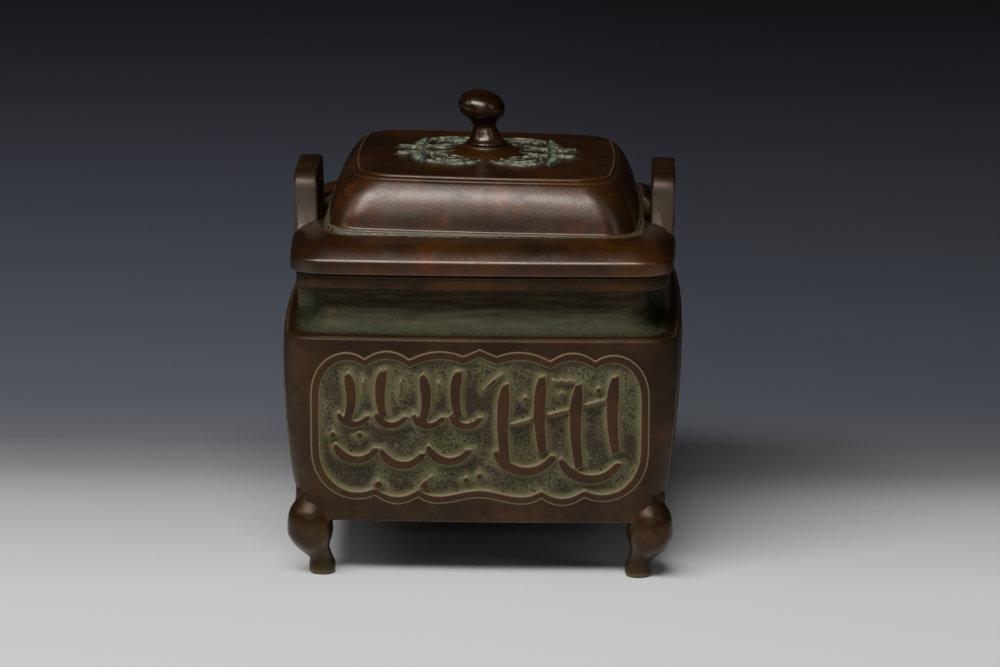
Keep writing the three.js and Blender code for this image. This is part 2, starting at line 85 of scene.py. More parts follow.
PLATE_BEADS = (
    (2.3, -1.75, 0.3), (1.9, -1.2, 0.2), (1.5, -1.0, 0.2), (0.8, -0.7, 0.3),
    (0.3, 0.05, 0.2), (-0.3, 0.2, 0.2), (-1.0, -0.1, 0.3),
)
SLOT_WIDE, SCROLL_WIDE, SCROLL_RISE = 3.0, 4.4, 0.9
SLOT_BELOW, SLOT_ABOVE, RIB_ROOT = 9, 6, 2.4  # what cuts a slot, and what of a scroll is sunk in the lid
KNOB_GAP, KNOB_FOOT, KNOB_WAIST, KNOB_BALL, KNOB_BALL_HIGH = 0.3, 8.2, 4.7, 9.5, 6.9
KNOB_HIGH, KNOB_LEAN = 22.1, 0.17

# Sizes of the cartouches and their strokes
PANEL_HALF_WIDE = BODY_HALF - 13.2
PANEL_BELOW, PANEL_ABOVE = 8.1, 4.7
PANEL_HALF_HIGH = (WALL_HEIGHT - PANEL_BELOW - PANEL_ABOVE) / 2
PANEL_MIDDLE = UNDERSIDE + PANEL_BELOW + PANEL_HALF_HIGH
BAND_WIDE, BAND_RISE, GROUND_DEEP, CUSP_DEEP, STROKE_WIDE = 3.4, 0.5, 1.3, 3.4, 4.2
SLOPE_HALF = 0.42  # half the width of the sloping side of a stroke
OUTLINE_MARGIN = 1.3  # how far from the band's outer line no point is pulled

# Density of the skins: steps from the middle of a side to its end, then to the middle of the corner
SIDE_HALF, CORNER_HALF = 80, 10
ROW_PITCH = 0.84  # between the rows of the cartouches
SPAN = SIDE_HALF + CORNER_HALF
UNDERSIDE_HALVES, FLOOR_HALVES = (12, 30, 46, 58, 66), (40, 12)  # rings between the middle and the wall
FOOT_STEPS, TURNED_STEPS = 28, 64
NUDGE, STEEP = 0.1, 0.5  # reach and least size of a slope that pulls points onto a stroke's edge
FAR_AWAY = 50.0  # stands for no stroke nearby

# Finish and stage
BARE_METAL = 0.38  # metallic value where the patina is thin; the rest is oxide and wax
WAX_SHEEN = 0.7  # specular level of the handled lid and knob
DULL_SHEEN = 0.24  # the same of the box
CAMERA_LENS, CAMERA_AWAY = 187.2, 2.1426  # focal length in millimetres, metres to the object
CAMERA_AZIMUTH, CAMERA_ELEVATION, CAMERA_ROLL = 1.3, 12.4, 0.3  # degrees
CAMERA_TARGET = (6.1, 0, 85.3)
PAPER_REACH = 6000
FLOOR_REACH = 1.6  # metres from the object's middle to the first and last shade
# Colours of the paper along its depth, with painted light: a pale pool in front of the object, painted shade
# under and behind it, falloff to blue grey at the back, and dark far in front.
FLOOR_TONES_AND_PAINTED_LIGHT = (
    (-1.3, "#2c2c2c"), (-0.55, "#4a4a4a"),
    (-0.28, "#f4f4f4"), (-0.09, "#f1f1f1"), (0.004, "#cbcbcb"), (0.055, "#b2b2b4"),
    (0.108, "#838386"), (0.164, "#6a6a6e"), (0.242, "#5c5f68"), (0.85, "#555661"), (1.45, "#42444a"),
)


# Rings and skins

def on_side(q, half, corner, bow):
    """The point of a ring at place q, seen from its own side: x along the side, y outwards is negative."""
    run = half - bow - corner
    kink = np.arctan2(2 * bow, run)
    t = np.clip(q / SIDE_HALF, -1, 1)
    turn = -np.pi / 2 + kink + (np.pi / 2 - 2 * kink) * (np.abs(q) - SIDE_HALF) / (2 * CORNER_HALF)
    round_x = run - corner * np.sin(kink) + corner * np.cos(turn)
    round_y = corner * np.cos(kink) - (half - bow) + corner * np.sin(turn)
    flat = np.abs(q) <= SIDE_HALF
    return np.where(flat, run * t, np.sign(q) * round_x), np.where(flat, -(half - bow * t**2), round_y)


def round_the_box(x, y, z):
    """Repeats one side's points on the four sides."""
    sides = []
    for side in range(4):
        c, s = round(math.cos(side * math.pi / 2)), round(math.sin(side * math.pi / 2))
        sides.append(np.stack([c * x - s * y, s * x + c * y, np.broadcast_to(z, x.shape)], -1))
    return np.concatenate(sides)


def ring(row, bow, step):
    half, z, corner = row
    x, y = on_side(np.arange(-SPAN, SPAN, step, dtype=float), half, corner, bow)
    return round_the_box(x, y, z)


def eased(rows):
    """Rows of [half, z, corner, ease], where each turn of the profile is eased over that many millimetres."""
    out = []
    for i, (*here, ease) in enumerate(rows):
        here = np.array(here)
        if i in (0, len(rows) - 1) or not ease:
            out.append(here)
            continue
        before, after = np.array(rows[i - 1][:3]) - here, np.array(rows[i + 1][:3]) - here
        reach = [min(ease / max(np.hypot(*leg[:2]), 1e-6), 0.48) for leg in (before, after)]
        for t in np.linspace(0, 1, 5):
            out.append(here + before * reach[0] * (1 - t) ** 2 + after * reach[1] * t**2)
    return out


def spread(rows, longest):
    """Adds rows so that no two are further apart than that."""
    out = [rows[0]]
    for here in rows[1:]:
        steps = max(1, math.ceil(np.hypot(*(here - out[-1])[:2]) / longest))
        start = out[-1]
        out += [start + (here - start) * (k + 1) / steps for k in range(steps)]
    return out


def skin(name, rings):
    """A closed mesh over rings, first to last, with a middle point at both ends; a ring may have twice the
    points of its neighbour, and each quad is split where its heights differ least."""
    starts = np.cumsum([0, *map(len, rings)])
    faces = []
    for a, b, ra, rb in zip(starts, starts[1:], rings, rings[1:]):
        i = np.arange(min(len(ra), len(rb)))
        j = (i + 1) % len(i)
        if len(ra) == len(rb):
            first = np.hypot(*ra[i, :2].T) - np.hypot(*rb[j, :2].T)
            second = np.hypot(*ra[j, :2].T) - np.hypot(*rb[i, :2].T)
            keep = (np.abs(first) <= np.abs(second))[:, None]
            near = np.where(keep, np.stack([a + i, a + j, b + j], 1), np.stack([a + i, a + j, b + i], 1))
            far = np.where(keep, np.stack([a + i, b + j, b + i], 1), np.stack([a + j, b + j, b + i], 1))
            faces += [near, far]
            continue
        coarse, fine, flip = (a, b, False) if len(ra) < len(rb) else (b, a, True)
        f0, f1, f2 = fine + 2 * i, fine + 2 * i + 1, fine + (2 * i + 2) % (2 * len(i))
        for triangle in ((coarse + i, f1, f0), (coarse + i, coarse + j, f1), (coarse + j, f2, f1)):
            faces.append(np.stack(triangle[::-1] if flip else triangle, 1))
    middle = starts[-1]
    faces += [fan(0, len(rings[0]), middle, True), fan(starts[-2], len(rings[-1]), middle + 1, False)]
    points = [*rings, rings[0].mean(0)[None], rings[-1].mean(0)[None]]
    return mesh_object(name, np.concatenate(points), np.concatenate(faces))


def fan(start, count, centre, flip):
    """Triangles from a ring to the point in its middle."""
    i = np.arange(count)
    block = np.stack([start + i, start + (i + 1) % count, np.full(count, centre)], 1)
    return block[:, ::-1] if flip else block


def placed(name, data):
    """A new object in the scene."""
    made = bpy.data.objects.new(name, data)
    bpy.context.scene.collection.objects.link(made)
    return made


def mesh_object(name, points, faces):
    """A smooth-shaded object from points in millimetres."""
    mesh = bpy.data.meshes.new(name)
    mesh.vertices.add(len(points))
    mesh.vertices.foreach_set("co", (points * MM).astype(np.float32).ravel())
    mesh.loops.add(faces.size)
    mesh.loops.foreach_set("vertex_index", faces.ravel().astype(np.int32))
    mesh.polygons.add(len(faces))
    mesh.polygons.foreach_set("loop_start", np.arange(0, faces.size, faces.shape[1], dtype=np.int32))
    mesh.update(calc_edges=True)
    mesh.validate()
    mesh.polygons.foreach_set("use_smooth", np.ones(len(faces), bool))
    return placed(name, mesh)


def points_of(piece):
    co = np.empty(len(piece.data.vertices) * 3, np.float32)
    piece.data.vertices.foreach_get("co", co)
    return co.reshape(-1, 3).astype(float) / MM


def moved(piece, points):
    """The piece with its points at other places."""
    piece.data.vertices.foreach_set("co", (points * MM).astype(np.float32).ravel())
    piece.data.update()
    return piece


def applied(piece):
    """The piece's mesh after its modifiers."""
    depsgraph = bpy.context.evaluated_depsgraph_get()
    return bpy.data.meshes.new_from_object(piece.evaluated_get(depsgraph))


def combine(piece, others, operation):
    """Joins other closed meshes to the piece or cuts them out of it, and removes them."""
    for other in others:
        step = piece.modifiers.new("step", "BOOLEAN")
        step.operation, step.solver, step.object = operation, "MANIFOLD", other
        mesh = applied(piece)
        piece.modifiers.clear()
        piece.data = mesh
        bpy.data.objects.remove(other)
    piece.data.polygons.foreach_set("use_smooth", np.ones(len(piece.data.polygons), bool))


# Strokes and the cartouche, drawn flat in millimetres from the middle of a cartouche

def brush(x, y, length, heading, turn=0.0, width=STROKE_WIDE, head=0.35, tail=0.3):
    """Centre points and half widths of a stroke of even curvature; head is the share over which it swells."""
    steps = 12
    t = np.linspace(0, 1, steps + 1)
    angle = heading + turn * t
    middle = (angle[:-1] + angle[1:]) / 2
    px = x + np.concatenate([[0], np.cumsum(np.cos(middle))]) * length / steps
    py = y + np.concatenate([[0], np.cumsum(np.sin(middle))]) * length / steps
    rise = 0.55 + 0.45 * t / head
    fall = 1 - (1 - tail) * ((t - head) / (1 - head)).clip(0) ** 1.6
    return np.stack([px, py], 1), width / 2 * np.where(t < head, rise, fall)


def strokes():
    """Rows of plain strokes with cut ends: tall ones on the right and two tiers on the left."""
    w, h, down = PANEL_HALF_WIDE, PANEL_HALF_HIGH, -math.pi / 2
    blunt = {"head": 0.2, "tail": 0.72}
    out = []
    for i in range(4):
        step = 0.1 * (i % 2)
        place = w * (0.8 - 0.215 * i), h * (0.7 - step)
        out.append(brush(*place, h * (1 + step), down - 0.16, 0.34, STROKE_WIDE * 1.3, **blunt))
    for i in range(2):
        place = w * (0.09 + 0.385 * i), -h * (0.28 + 0.1 * i)
        out.append(brush(*place, h * 0.94, down + 0.35, 2.3, STROKE_WIDE * 1.1, **blunt))
    for i in range(4):
        bend = -0.7 if i % 2 else 0.7
        place = -w * (0.12 + 0.222 * i), h * (0.76 - 0.06 * (i % 2))
        out.append(brush(*place, h * 0.63, down - bend / 2, bend, STROKE_WIDE * 1.15, **blunt))
        place = -w * (0.84 - 0.222 * i), h * 0.19
        out.append(brush(*place, h * 0.5, down + 0.3, 2.4, STROKE_WIDE * 0.85, **blunt))
    for i in range(3):
        place = -w * (0.86 - 0.275 * i), -h * (0.22 + 0.06 * (i % 2))
        out.append(brush(*place, h * 0.69, down + 0.3, 2.4, STROKE_WIDE, **blunt))
    return out + small_strokes()


def small_strokes():
    """Thin slanted strokes, a row of short teeth and commas that fill the ground between the rows."""
    w, h, down = PANEL_HALF_WIDE, PANEL_HALF_HIGH, -math.pi / 2
    thin = STROKE_WIDE * 0.55
    slash = {"width": thin * 0.85, "head": 0.3, "tail": 0.6}
    out = [
        brush(w * 0.1, h * 0.02, w * 0.72, 0.24, 0.06, **slash),
        brush(w * 0.02, h * 0.5, h * 0.34, 0.75, **slash),
        brush(-w * 0.36, -h * 0.8, h * 0.26, 0.8, **slash),
    ]
    for i in range(3):
        out.append(brush(w * (0.43 + 0.045 * i), h * 0.66, h * 0.13, down + 0.3, 2.2, thin * 0.8, 0.2, 0.6))
        out.append(brush(-w * (0.25 + 0.222 * i), h * 0.62, h * 0.2, down + 0.5, -1.0, thin))
    return out


def dots():
    """Middle and half width of the lozenges, which stand between and under the rows."""
    w, h = PANEL_HALF_WIDE, PANEL_HALF_HIGH
    out = [(-w * (0.6 - 0.275 * i), -h * 0.75, STROKE_WIDE / 2) for i in range(2)]
    out += [(-w * (0.87 - 0.16 * i), -h * 0.1, STROKE_WIDE * 0.42) for i in range(2)]
    out += [(w * (0.7 - 0.215 * i), h * (0.52 - 0.06 * i), STROKE_WIDE * 0.36) for i in range(3)]
    return out + [(-w * 0.08 * i, -h * (0.62 + 0.05 * i), STROKE_WIDE * 0.4) for i in range(2)]


def chain(start, *legs, steps=10):
    """Points along Bezier legs, each from where the last one ended, and a straight leg's start alone."""
    out = []
    for leg in legs:
        points = np.array([start, *leg], float)
        start = leg[-1]
        t = np.linspace(0, 1, steps, endpoint=False)[:, None] if len(points) > 2 else np.zeros((1, 1))
        while len(points) > 1:
            points = [a + (b - a) * t for a, b in zip(points, points[1:])]
        out.append(points[0])
    return np.concatenate([*out, [start]])


def cartouche(inset):
    """The lobed outline, drawn inwards by inset."""
    w, h, d = PANEL_HALF_WIDE - inset, PANEL_HALF_HIGH - inset, CUSP_DEEP
    outer, inner, waist = PANEL_HALF_WIDE * 0.68, PANEL_HALF_WIDE * 0.415, PANEL_HALF_WIDE * 0.1
    pull = PANEL_HALF_WIDE * 0.12
    low_outer, low_inner = PANEL_HALF_WIDE * 0.62, PANEL_HALF_WIDE * 0.365
    low_pull, low_cusp, belly = low_outer + pull * 1.2, -h + d * 0.9, -h - d * 0.9
    half = chain(
        (0, low_cusp),
        [(waist, -h + d), (low_inner * 0.7, belly), (low_inner, low_cusp)],
        [((low_outer + low_inner) / 2, -h - d), (low_outer, -h + d)],
        [(low_pull, -h - d * 0.6), (w, -h * 0.85), (w, -h * 0.3)],
        [(w, h * 0.42)],
        [(w, h * 0.9), (outer + pull, h + d * 0.9), (outer, h - d)],
        [((outer + inner) / 2, h + d), (inner, h - d)],
        [((inner + waist) / 2, h + d * 0.8), (waist, h - d * 0.5)],
        [(waist * 0.45, h - d * 0.1), (0, h + d * 0.35)],
    )
    mirrored = (half * [-1, 1])[::-1]
    return np.concatenate([half, mirrored[1:-1]])


def along_segments(p, a, b):
    """For each point of p, its nearest place on the segment from a to b: share along it, and distance."""
    leg = b - a
    t = ((p - a) @ leg / max(leg @ leg, 1e-9)).clip(0, 1)
    return t, np.hypot(*(p - a - t[:, None] * leg).T)


def inside_outline(p, outline):
    """Signed distance to a closed outline, negative inside."""
    best, crossings = np.full(len(p), 1e9), np.zeros(len(p), int)
    for a, b in zip(outline, np.roll(outline, -1, 0)):
        best = np.minimum(best, along_segments(p, a, b)[1])
        spans = (a[1] > p[:, 1]) != (b[1] > p[:, 1])
        rise = b[1] - a[1] if abs(b[1] - a[1]) > 1e-9 else 1e-9
        crossings += spans & (p[:, 0] < a[0] + (p[:, 1] - a[1]) / rise * (b[0] - a[0]))
    return np.where(crossings % 2, -best, best)


STROKES, DOTS, OUTER, INNER = strokes(), dots(), cartouche(0), cartouche(BAND_WIDE)


def cut_end(p, end, before, width):
    """Distance past the slanted cut across the end of a stroke, which counts only close to that end."""
    away = end - before
    angle = math.atan2(away[1], away[0]) + 0.45
    past = (p - end) @ [math.cos(angle), math.sin(angle)] - width * 0.2
    return np.where(np.hypot(*(p - end).T) < width * 2.6, past, -1e3)


def stroke_distance(p, line, width, cut=True):
    """Signed distance to one stroke, negative inside it."""
    best = np.full(len(p), 1e3)
    for k in range(len(line) - 1):
        t, far = along_segments(p, line[k], line[k + 1])
        best = np.minimum(best, far - (width[k] + (width[k + 1] - width[k]) * t))
    if cut:
        best = np.maximum(best, cut_end(p, line[0], line[1], width[0]))
        best = np.maximum(best, cut_end(p, line[-1], line[-2], width[-1]))
    return best


def panel_distances(u, v):
    """Signed distances to the raised metal (strokes and band), to the band's outside and to its inside."""
    p = np.stack([u, v], 1)
    raised = np.full(len(p), 1e3)
    for line, width in STROKES:
        near = (np.abs(p - (line.min(0) + line.max(0)) / 2) < np.ptp(line, 0) / 2 + 12).all(1)
        raised[near] = np.minimum(raised[near], stroke_distance(p[near], line, width))
    for x, y, half in DOTS:
        raised = np.minimum(raised, (np.abs(u - x) + np.abs(v - y) - half * 1.2) / math.sqrt(2))
    outer, inner = inside_outline(p, OUTER), inside_outline(p, INNER)
    return np.minimum(raised, np.maximum(outer, -inner)), outer, inner


def relief(raised, outer, inner):
    """Height over the wall, in millimetres."""
    up = ((SLOPE_HALF - raised) / (2 * SLOPE_HALF)).clip(0, 1)
    ground = -GROUND_DEEP + (GROUND_DEEP + BAND_RISE) * up
    return np.where(inner < 0, ground, BAND_RISE * up * (outer < BAND_WIDE))


# The vessel

def wall_half(z):
    return BODY_HALF - WALL_TAPER * (1 - ((z - UNDERSIDE) / WALL_HEIGHT)).clip(0) ** 2.2


def panel_rings():
    """The fine part of the wall, whose points are pulled onto the edges of the strokes."""
    reach = PANEL_HALF_HIGH + CUSP_DEEP * 0.3
    count = round(2 * reach / ROW_PITCH)
    q, v = np.meshgrid(np.arange(-SPAN, SPAN, dtype=float), np.linspace(-reach, reach, count + 1))
    shape, edge_row = q.shape, (np.abs(v) > reach - 0.1).ravel()
    q, v = q.ravel(), v.ravel()
    pitch = (BODY_HALF - BODY_BOW - BODY_CORNER) / SIDE_HALF

    def place(q, v):
        return on_side(q, wall_half(v + PANEL_MIDDLE), BODY_CORNER, BODY_BOW)

    def raised(q, v):
        return panel_distances(place(q, v)[0], v)[0]

    here = raised(q, v)
    outer_line = np.abs(inside_outline(np.stack([place(q, v)[0], v], 1), OUTER)) < OUTLINE_MARGIN
    slope_q = (raised(q + NUDGE, v) - here) / NUDGE / pitch
    slope_v = (raised(q, v + NUDGE) - here) / NUDGE
    size = slope_q**2 + slope_v**2
    goal = np.where(here < 0, -SLOPE_HALF, SLOPE_HALF)
    pulled = (np.abs(here - goal) < SLOPE_HALF) & (size > STEEP) & ~edge_row & ~outer_line
    miss = np.where(pulled, goal - here, 0)
    q = q + miss * slope_q / np.maximum(size, STEEP) / pitch
    v = v + miss * slope_v / np.maximum(size, STEEP)
    x, y = place(q, v)
    height = relief(*panel_distances(x, v))
    level = np.hypot(x, y)
    out = height * np.where(np.abs(q) > SIDE_HALF, 1, 0)
    x, y = x + out * x / level * 0.7, y - height * np.where(np.abs(q) > SIDE_HALF, 0.7, 1)
    x, y, v = x.reshape(shape), y.reshape(shape), v.reshape(shape)
    return [round_the_box(x[i], y[i], v[i] + PANEL_MIDDLE) for i in range(shape[0])]


def wall_row(z):
    return np.array([wall_half(np.float64(z)), z, BODY_CORNER])


def lower_rings():
    """Underside, its round edge and the plain foot of the wall."""
    panel_foot = PANEL_MIDDLE - PANEL_HALF_HIGH - CUSP_DEEP * 0.3
    bottom = [(d, UNDERSIDE, BODY_CORNER * d / BODY_HALF, 0) for d in UNDERSIDE_HALVES]
    edge = wall_row(UNDERSIDE + 0.1)
    rows = eased([*bottom, (edge[0], UNDERSIDE, BODY_CORNER, EDGE_ROUND), (*wall_row(UNDERSIDE + 3), 0)])
    rows += [wall_row(z) for z in np.linspace(UNDERSIDE + 3, panel_foot, 7)[1:-1]]
    return [ring(row, BODY_BOW, 2) for row in rows]


def upper_rings():
    """Shoulder, cove, neck, lip, and the cavity down to the floor."""
    panel_head = PANEL_MIDDLE + PANEL_HALF_HIGH + CUSP_DEEP * 0.3
    wall_rows = [wall_row(z) for z in np.linspace(panel_head, SHOULDER - EDGE_ROUND, 4)[1:]]
    inner_corner = BODY_CORNER - WALL
    outside = eased([
        (*wall_rows[-1], 0),
        (BODY_HALF, SHOULDER, BODY_CORNER, 1.1),
        (BODY_HALF - 3, SHOULDER + LEDGE_RISE, BODY_CORNER, 1.1),
        (NECK_HALF + COVE_OUT * 1.6, SHOULDER + LEDGE_RISE, BODY_CORNER - 1, 1.8),
        (NECK_HALF + COVE_OUT * 0.35, SHOULDER + COVE_HIGH * 0.75, BODY_CORNER - 3, 3.4),
        (NECK_HALF, RIM_TOP - RIM_THICK - 3, NECK_CORNER, 1.2),
        (NECK_HALF, RIM_TOP - RIM_THICK, NECK_CORNER, 0.5),
        (RIM_HALF, RIM_TOP - RIM_THICK, RIM_CORNER, 1.5),
        (RIM_HALF, RIM_TOP, RIM_CORNER, 1.3),
        (MOUTH_HALF, RIM_TOP, NECK_CORNER - 1, 0.8),
        (MOUTH_HALF, SHOULDER - 2, NECK_CORNER - 1, 3),
        (BODY_HALF - WALL - 1.2, SHOULDER - CAVITY_HEAD, inner_corner, 3),
        (BODY_HALF - WALL - 1, SHOULDER - CAVITY_TURN, inner_corner, 6),
        (BODY_HALF - WALL - 3, UNDERSIDE + CAVITY_FOOT, inner_corner, 9),
        (BODY_HALF - WALL - WALL_TAPER, UNDERSIDE + FLOOR_THICK, inner_corner, 6),
        (FLOOR_HALVES[0], UNDERSIDE + FLOOR_THICK, 8, 0),
        (FLOOR_HALVES[1], UNDERSIDE + FLOOR_THICK, 3, 0),
    ])
    rows = [*wall_rows[:-1], *spread(outside, 7)]
    return [ring(row, BODY_BOW, 2) for row in rows]


def smooth_line(stations, steps):
    """A soft curve through rows of numbers, by Catmull and Rom's rule."""
    s = np.array(stations, float)
    s = np.concatenate([[2 * s[0] - s[1]], s, [2 * s[-1] - s[-2]]])
    t = np.linspace(0, 1, steps, endpoint=False)[:, None]
    out = []
    for a, b, c, d in zip(s, s[1:], s[2:], s[3:]):
        square, cube = 2 * a - 5 * b + 4 * c - d, 3 * b - a - 3 * c + d
        out.append(0.5 * (2 * b + (c - a) * t + square * t**2 + cube * t**3))
    return np.concatenate([*out, s[-2][None]])


def foot_stations():
    """Rows of radius, height and share of the way from over the sole to over the knee."""
    swell = KNEE_RADIUS - ANKLE_RADIUS
    return smooth_line([
        (HOOF_RADIUS, HOOF_RADIUS - SOLE_RADIUS + 0.3, 0),
        (HOOF_RADIUS, HOOF_HIGH, 0),
        (ANKLE_RADIUS, KNEE_HEIGHT * 0.35, 0.13),
        (ANKLE_RADIUS + swell * 0.45, KNEE_HEIGHT * 0.6, 0.8),
        (ANKLE_RADIUS + swell * 0.88, KNEE_HEIGHT * 0.82, 1),
        (KNEE_RADIUS, KNEE_HEIGHT, 1),
        (KNEE_RADIUS * 0.93, UNDERSIDE + (FOOT_TOP - UNDERSIDE) * 0.2, 1),
        (KNEE_RADIUS * 0.75, UNDERSIDE + (FOOT_TOP - UNDERSIDE) * 0.56, 0.9),
        (KNEE_RADIUS * 0.4, FOOT_TOP, 0.65),
    ], 4)


def foot(sign_x, sign_y):
    rows = []
    for radius, z, out in [(SOLE_RADIUS * 0.5, 0, 0), (SOLE_RADIUS, 0, 0), *foot_stations()]:
        centre = FOOT_SPREAD + KNEE_OUT * out
        rows.append((radius, sign_x * centre, sign_y * centre, z))
    return circles("foot", rows, FOOT_STEPS)


def circles(name, rows, steps):
    """A closed skin over level circles, each given by its radius and middle."""
    angle = np.linspace(0, 2 * np.pi, steps, endpoint=False)
    circle = np.stack([np.cos(angle), np.sin(angle), np.zeros(steps)], 1)
    return skin(name, [np.array(middle) + radius * circle for radius, *middle in rows])


def ease_into_feet(points):
    """Draws the wall out towards each foot, so that the two look cast as one."""
    stations = foot_stations()
    z = points[:, 2]
    radius = np.interp(z, stations[:, 1], stations[:, 0])
    centre = FOOT_SPREAD + KNEE_OUT * np.interp(z, stations[:, 1], stations[:, 2])
    over = (z - FOOT_TOP).clip(0)
    away = np.abs(points[:, :2]) - centre[:, None]
    gap = np.hypot(np.hypot(*away.T), over) - radius * (over == 0)
    outside = (np.abs(points[:, :2]).max(1) > BODY_HALF - WALL_TAPER - 3) & (z > UNDERSIDE)
    pull = FOOT_PULL * (1 - gap / FOOT_BLEND).clip(0, 1) ** 2 * outside
    level = np.hypot(points[:, 0], points[:, 1])
    points[:, :2] *= (1 + pull / np.maximum(level, 1))[:, None]
    return points


def handle(side):
    """The loop, from a flat outline with a hole, given rounded edges."""
    flat = bpy.data.curves.new("loop", "CURVE")
    flat.dimensions, flat.fill_mode = "2D", "BOTH"
    flat.extrude, flat.bevel_depth = (HANDLE_THICK / 2 - HANDLE_ROUND) * MM, HANDLE_ROUND * MM
    flat.bevel_resolution, flat.offset = 2, -HANDLE_ROUND * MM

    def rounded(half, low, high, corner):
        turn = np.linspace(0, np.pi / 2, 9)
        right = [(half - corner + corner * np.cos(a), high - corner + corner * np.sin(a)) for a in turn]
        left = [(-x, y) for x, y in right[::-1]]
        line = flat.splines.new("POLY")
        corners = [(half, low), *right, *left, (-half, low)]
        line.points.add(len(corners) - 1)
        for point, (x, y) in zip(line.points, corners):
            point.co = (x * MM, y * MM, 0, 1)
        line.use_cyclic_u = True

    eye_half, eye_top = HANDLE_WIDE / 2 - HANDLE_BAR, HANDLE_TOP - HANDLE_BRIDGE
    rounded(HANDLE_WIDE / 2, SHOULDER - EDGE_ROUND / 2, HANDLE_TOP, HANDLE_CORNER)
    rounded(eye_half, RIM_TOP + EYE_SILL, eye_top, eye_half * 0.6)
    drawn = placed("loop", flat)
    mesh = applied(drawn)
    bpy.data.objects.remove(drawn)
    lift = RIM_TOP * MM
    stand = Matrix.Rotation(math.pi / 2, 4, "Z") @ Matrix.Rotation(math.pi / 2, 4, "X")
    out = Matrix.Translation(((HANDLE_INSIDE + HANDLE_THICK / 2) * MM, 0, -lift))
    lean = Matrix.Translation((0, 0, lift)) @ Matrix.Rotation(HANDLE_LEAN, 4, "Y")
    turn = Matrix.Rotation(0 if side > 0 else math.pi, 4, "Z")
    mesh.transform(turn @ lean @ out @ stand)
    return weld(placed("handle", mesh))


def weld(piece):
    """Merges points that lie on each other, so that the piece is closed."""
    piece.modifiers.new("weld", "WELD").merge_threshold = 0.02 * MM
    mesh = applied(piece)
    piece.modifiers.clear()
    piece.data = mesh
    return piece


def box_between(low, high):
    x, y, z = zip(low, high)
    corners = np.array([(i, j, k) for k in z for j in y for i in x], float)
    quads = [(0, 2, 3, 1), (4, 5, 7, 6), (0, 1, 5, 4), (2, 6, 7, 3), (0, 4, 6, 2), (1, 3, 7, 5)]
    return mesh_object("block", corners, np.array(quads))


def vessel():
    rings = [*lower_rings(), *panel_rings(), *upper_rings()]
    counts = [len(r) for r in rings]
    eased_points = ease_into_feet(np.concatenate(rings))
    widest = cad_high[0] / MM
    eased_points[:, :2] = eased_points[:, :2].clip(-widest, widest)
    rings = np.split(eased_points, np.cumsum(counts)[:-1])
    made = skin("vessel_cast", rings)
    feet = [foot(x, y) for x in (-1, 1) for y in (-1, 1)]
    combine(made, feet, "UNION")
    half = HANDLE_WIDE / 2 - 1
    low, high = SHOULDER - EDGE_ROUND / 2, RIM_TOP - RIM_THICK + 1
    fillers = [box_between((x - 2, -half, low), (x + 2, half, high)) for x in (NECK_HALF, -NECK_HALF)]
    combine(made, [*fillers, handle(1), handle(-1)], "UNION")
    return made


# The lid

def slanted(points):
    """The dome and what stands on it slant a little to the right, about the middle of the dome's foot."""
    turn = np.array(Matrix.Rotation(math.radians(LID_TILT), 3, "Y"))
    foot_middle = np.array([0, 0, DOME_FOOT])
    return (points - foot_middle) @ turn.T + foot_middle


def lid_rings():
    """From the middle of the hollow down to the collar, then out and up to the middle of the top."""
    turn = LID_CORNER - 2
    hollow, hollow_corner = DOME_HALF - LID_WALL - 0.3, NECK_CORNER - 3
    collar = MOUTH_HALF - MOUTH_GAP
    under_top = PLATE_Z - LID_WALL - DOME_HEIGHT * 0.2
    flange = spread(eased([
        (collar, SEAT, NECK_CORNER - 2, 0),
        (LID_HALF, SEAT, LID_CORNER, 0.9),
        (LID_HALF, SEAT + FLANGE_THICK + 0.4, LID_CORNER, 0.9),
        (LID_HALF - LEDGE_WIDE * 0.3, DOME_FOOT - 3.3, LID_CORNER, 4),
        (DOME_HALF + 2.6, DOME_FOOT - 0.5, turn, 2.2),
        (DOME_HALF + 1.4, DOME_FOOT + 0.1, turn, 0.5),
    ]), 3)
    swell = []
    for inwards, up, tighter, ease in DOME_SWELL:
        at = DOME_HALF - DOME_IN * inwards, DOME_FOOT + DOME_HEIGHT * up
        swell.append((*at, PLATE_CORNER - tighter, ease))
    dome = spread(eased([
        *[(DOME_HALF + out, DOME_FOOT + up, turn, ease) for out, up, ease in FOOT_BEAD],
        *swell,
        *[(PLATE_HALF + out, PLATE_Z + up, PLATE_CORNER, ease) for out, up, ease in PLATE_BEADS],
        (PLATE_HALF * 0.75, PLATE_Z + PLATE_CROWN * 0.45, PLATE_CORNER, 3),
        (PLATE_HALF * 0.45, PLATE_Z + PLATE_CROWN * 0.9, PLATE_CORNER * 0.7, 3),
        (6, PLATE_Z + PLATE_CROWN, 2, 0),
    ]), 3)
    inside = spread(eased([
        (6, PLATE_Z - LID_WALL, 2, 0),
        (PLATE_HALF + DOME_IN * 0.15 - LID_WALL, PLATE_Z - LID_WALL, PLATE_CORNER - LID_WALL, 3),
        (PLATE_HALF + DOME_IN * 0.6 - LID_WALL, under_top, PLATE_CORNER - LID_WALL, 3),
        (hollow, DOME_FOOT + 1, hollow_corner, 0),
    ]), 5)
    skirt = eased([
        (hollow, DOME_FOOT - 3, hollow_corner, 0),
        (hollow, SEAT - COLLAR_DEEP, hollow_corner, 0.8),
        (collar, SEAT - COLLAR_DEEP, NECK_CORNER - 2, 0.8),
        (collar, SEAT - 0.01, NECK_CORNER - 2, 0),
    ])
    straight = [ring(row, LID_BOW, 2) for row in flange]
    tilted = [slanted(ring(row, LID_BOW, 2)) for row in [*dome, *inside]]
    collar_rings = [ring(row, LID_BOW, 2) for row in skirt]
    return [*tilted[len(dome):], *collar_rings, *straight, *tilted[: len(dome)]]


def across_path(path):
    """Unit vectors at right angles to a path."""
    t = np.gradient(path, axis=0)
    t /= np.hypot(*t.T)[:, None]
    return np.stack([-t[:, 1], t[:, 0]], 1)


